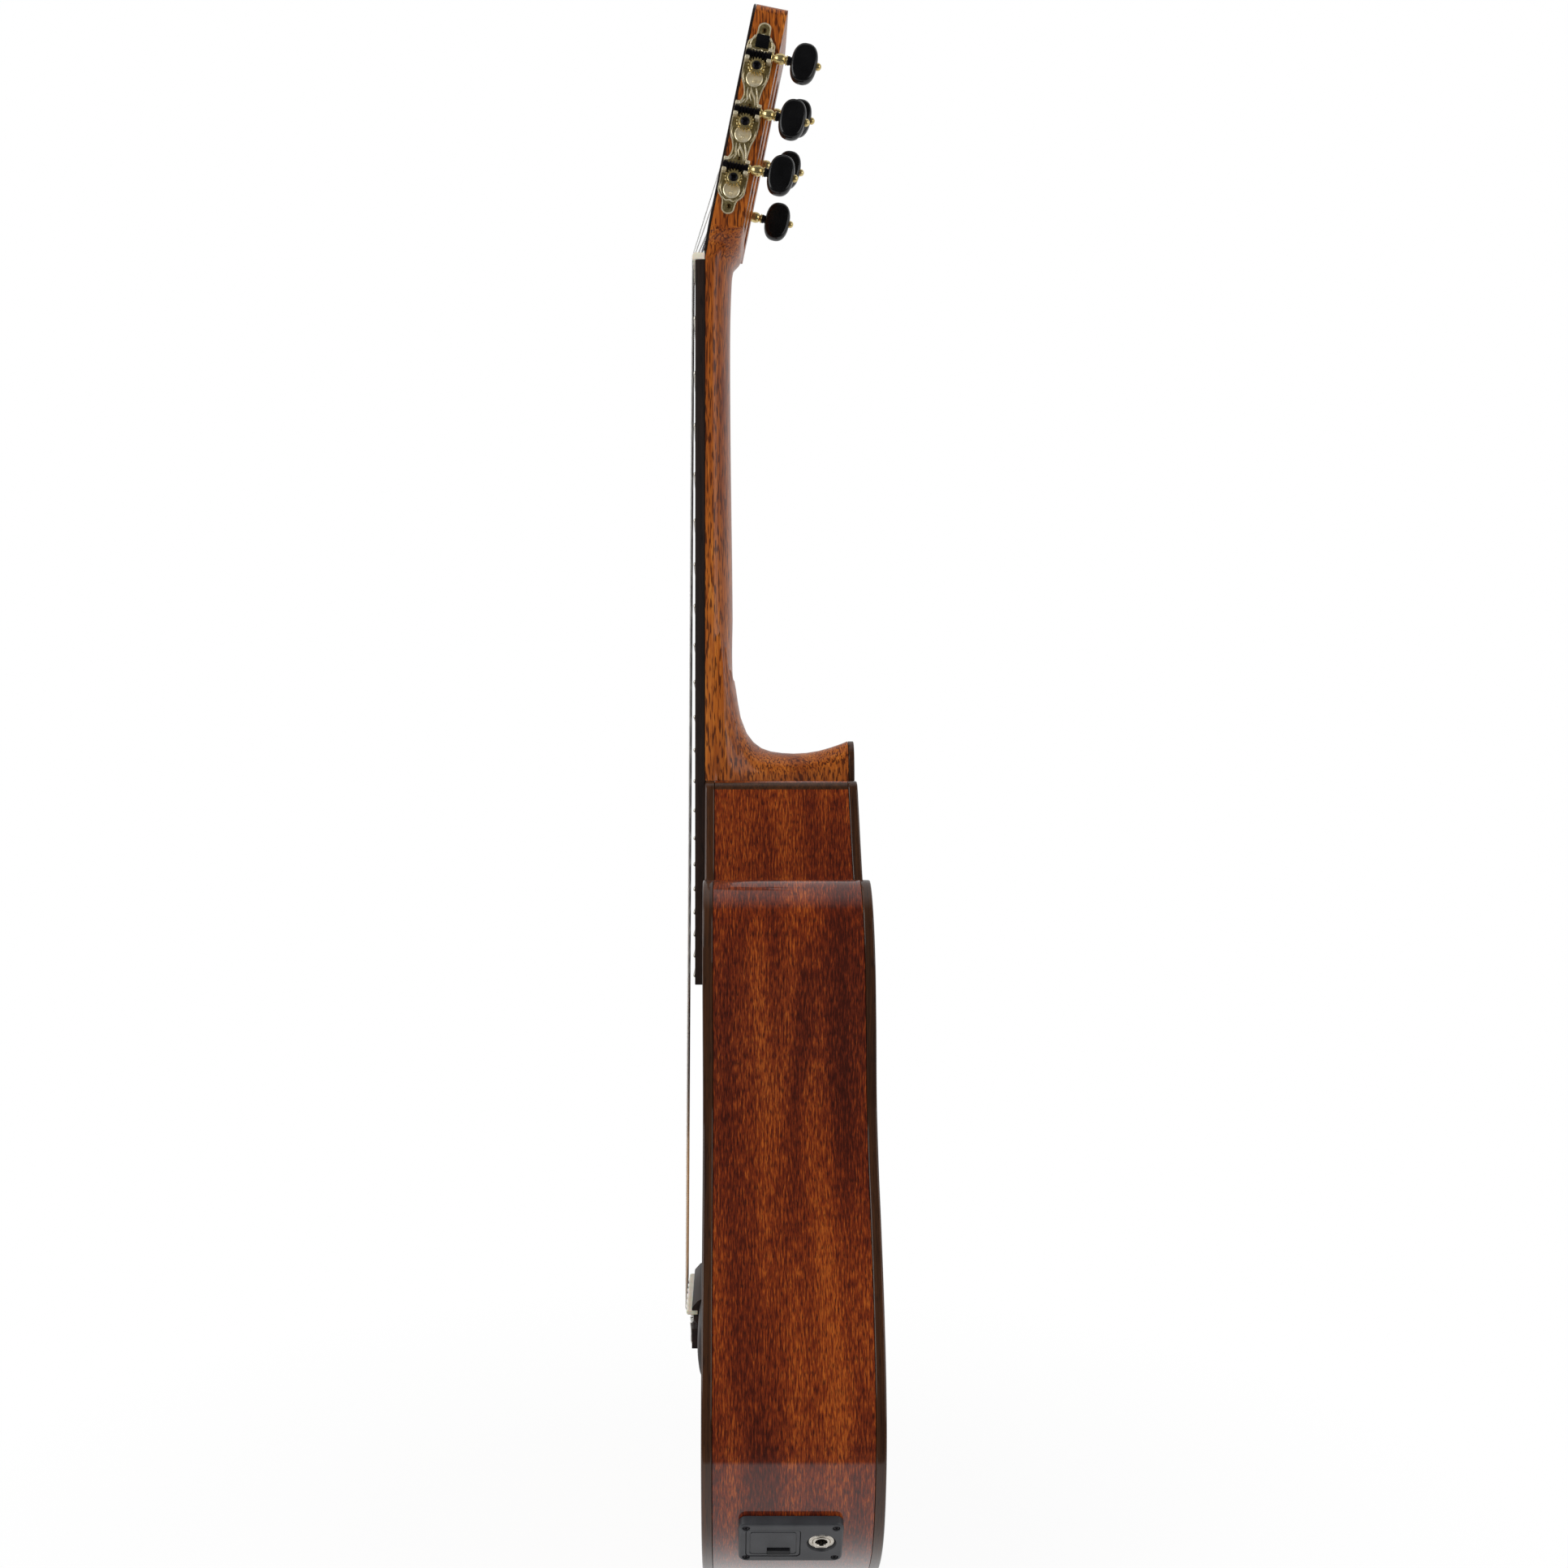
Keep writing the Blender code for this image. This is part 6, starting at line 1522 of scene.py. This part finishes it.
# a pale matt floor at the guitar's foot: white to the camera, and it keeps a soft shadow
def makeFloor():
    low, grey = cadBox[0][2] - 0.0005, studio["floorGrey"]
    bm = bmesh.new()
    bmesh.ops.create_grid(bm, x_segments=1, y_segments=1, size=studio["floorHalf"])
    bmesh.ops.translate(bm, vec=(0, 0, low), verts=bm.verts)
    mesh = bpy.data.meshes.new("floor")
    bm.to_mesh(mesh)
    bm.free()
    floor = bpy.data.objects.new("floor", mesh)
    bpy.context.scene.collection.objects.link(floor)
    material = bpy.data.materials.new("mattWhiteFloor")
    material.use_nodes = True
    tree = material.node_tree
    tree.nodes.clear()
    coords = addNode(tree, "TexCoord").outputs["Object"]
    place = addNode(tree, "SeparateXYZ", {"Vector": coords})
    beyond = addNode(tree, "MapRange", {
        "Value": place.outputs["Y"], "From Min": studio["floorEdge"] - 0.02, "From Max": studio["floorEdge"],
        "To Min": studio["darkSide"], "To Max": 1.0})
    paper = addNode(tree, "BsdfDiffuse", {"Color": (grey, grey, grey, 1)})
    shown = addNode(tree, "Emission", {"Color": (1, 1, 1, 1), "Strength": 1.0})
    gloss = addNode(tree, "Emission", {"Color": beyond.outputs["Result"], "Strength": studio["floorGloss"]})
    path = addNode(tree, "LightPath")
    reach = addNode(tree, "VectorMath", {0: coords, 1: (1, 1, 0)}, operation="MULTIPLY")
    away = addNode(tree, "VectorMath", {0: reach.outputs["Vector"]}, operation="LENGTH")
    near, far = studio["shadowReach"]
    clean = addNode(tree, "MapRange", {
        "Value": away.outputs["Value"], "From Min": near, "From Max": far, "To Min": studio["floorWhite"],
        "To Max": 1.0})
    white = addNode(tree, "MixShader", {0: clean.outputs["Result"], 1: paper.outputs[0], 2: shown.outputs[0]})
    camera = addNode(tree, "MixShader", {
        0: path.outputs["Is Camera Ray"], 1: paper.outputs[0], 2: white.outputs[0]})
    final = addNode(tree, "MixShader", {
        0: path.outputs["Is Glossy Ray"], 1: camera.outputs[0], 2: gloss.outputs[0]})
    addNode(tree, "OutputMaterial", {"Surface": final.outputs[0]})
    mesh.materials.append(material)


def areaLight(name, place, size, power):
    light = bpy.data.lights.new(name, "AREA")
    light.shape = "RECTANGLE"
    light.size, light.size_y = size
    light.energy = power
    lamp = bpy.data.objects.new(name, light)
    bpy.context.scene.collection.objects.link(lamp)
    lamp.location = place
    lamp.rotation_euler = (Vector(studio["target"]) - Vector(place)).to_track_quat("-Z", "Y").to_euler()
    return lamp


def makeCamera():
    camera = bpy.data.cameras.new("camera")
    camera.sensor_width = 36.0
    camera.lens = studio["lens"]
    camera.shift_x, camera.shift_y = studio["shift"]
    holder = bpy.data.objects.new("camera", camera)
    bpy.context.scene.collection.objects.link(holder)
    holder.location = studio["camera"]
    holder.rotation_euler = (math.radians(90), 0, 0)
    bpy.context.scene.camera = holder


makeWorld()
makeFloor()
areaLight("keyLeft", (-1.5, -1.1, 0.3), (1.0, 1.6), studio["keyPower"])
areaLight("fillRight", (1.6, -1.2, -0.1), (1.0, 1.6), studio["fillPower"])
areaLight("topSoft", (0.2, -0.2, 1.5), (1.4, 1.0), studio["topPower"]).visible_glossy = False
areaLight("behind", (0.2, 1.5, 0.4), (1.4, 1.4), studio["backPower"]).visible_glossy = False
makeCamera()
bpy.context.scene.view_settings.view_transform = "Standard"
print("studio made")
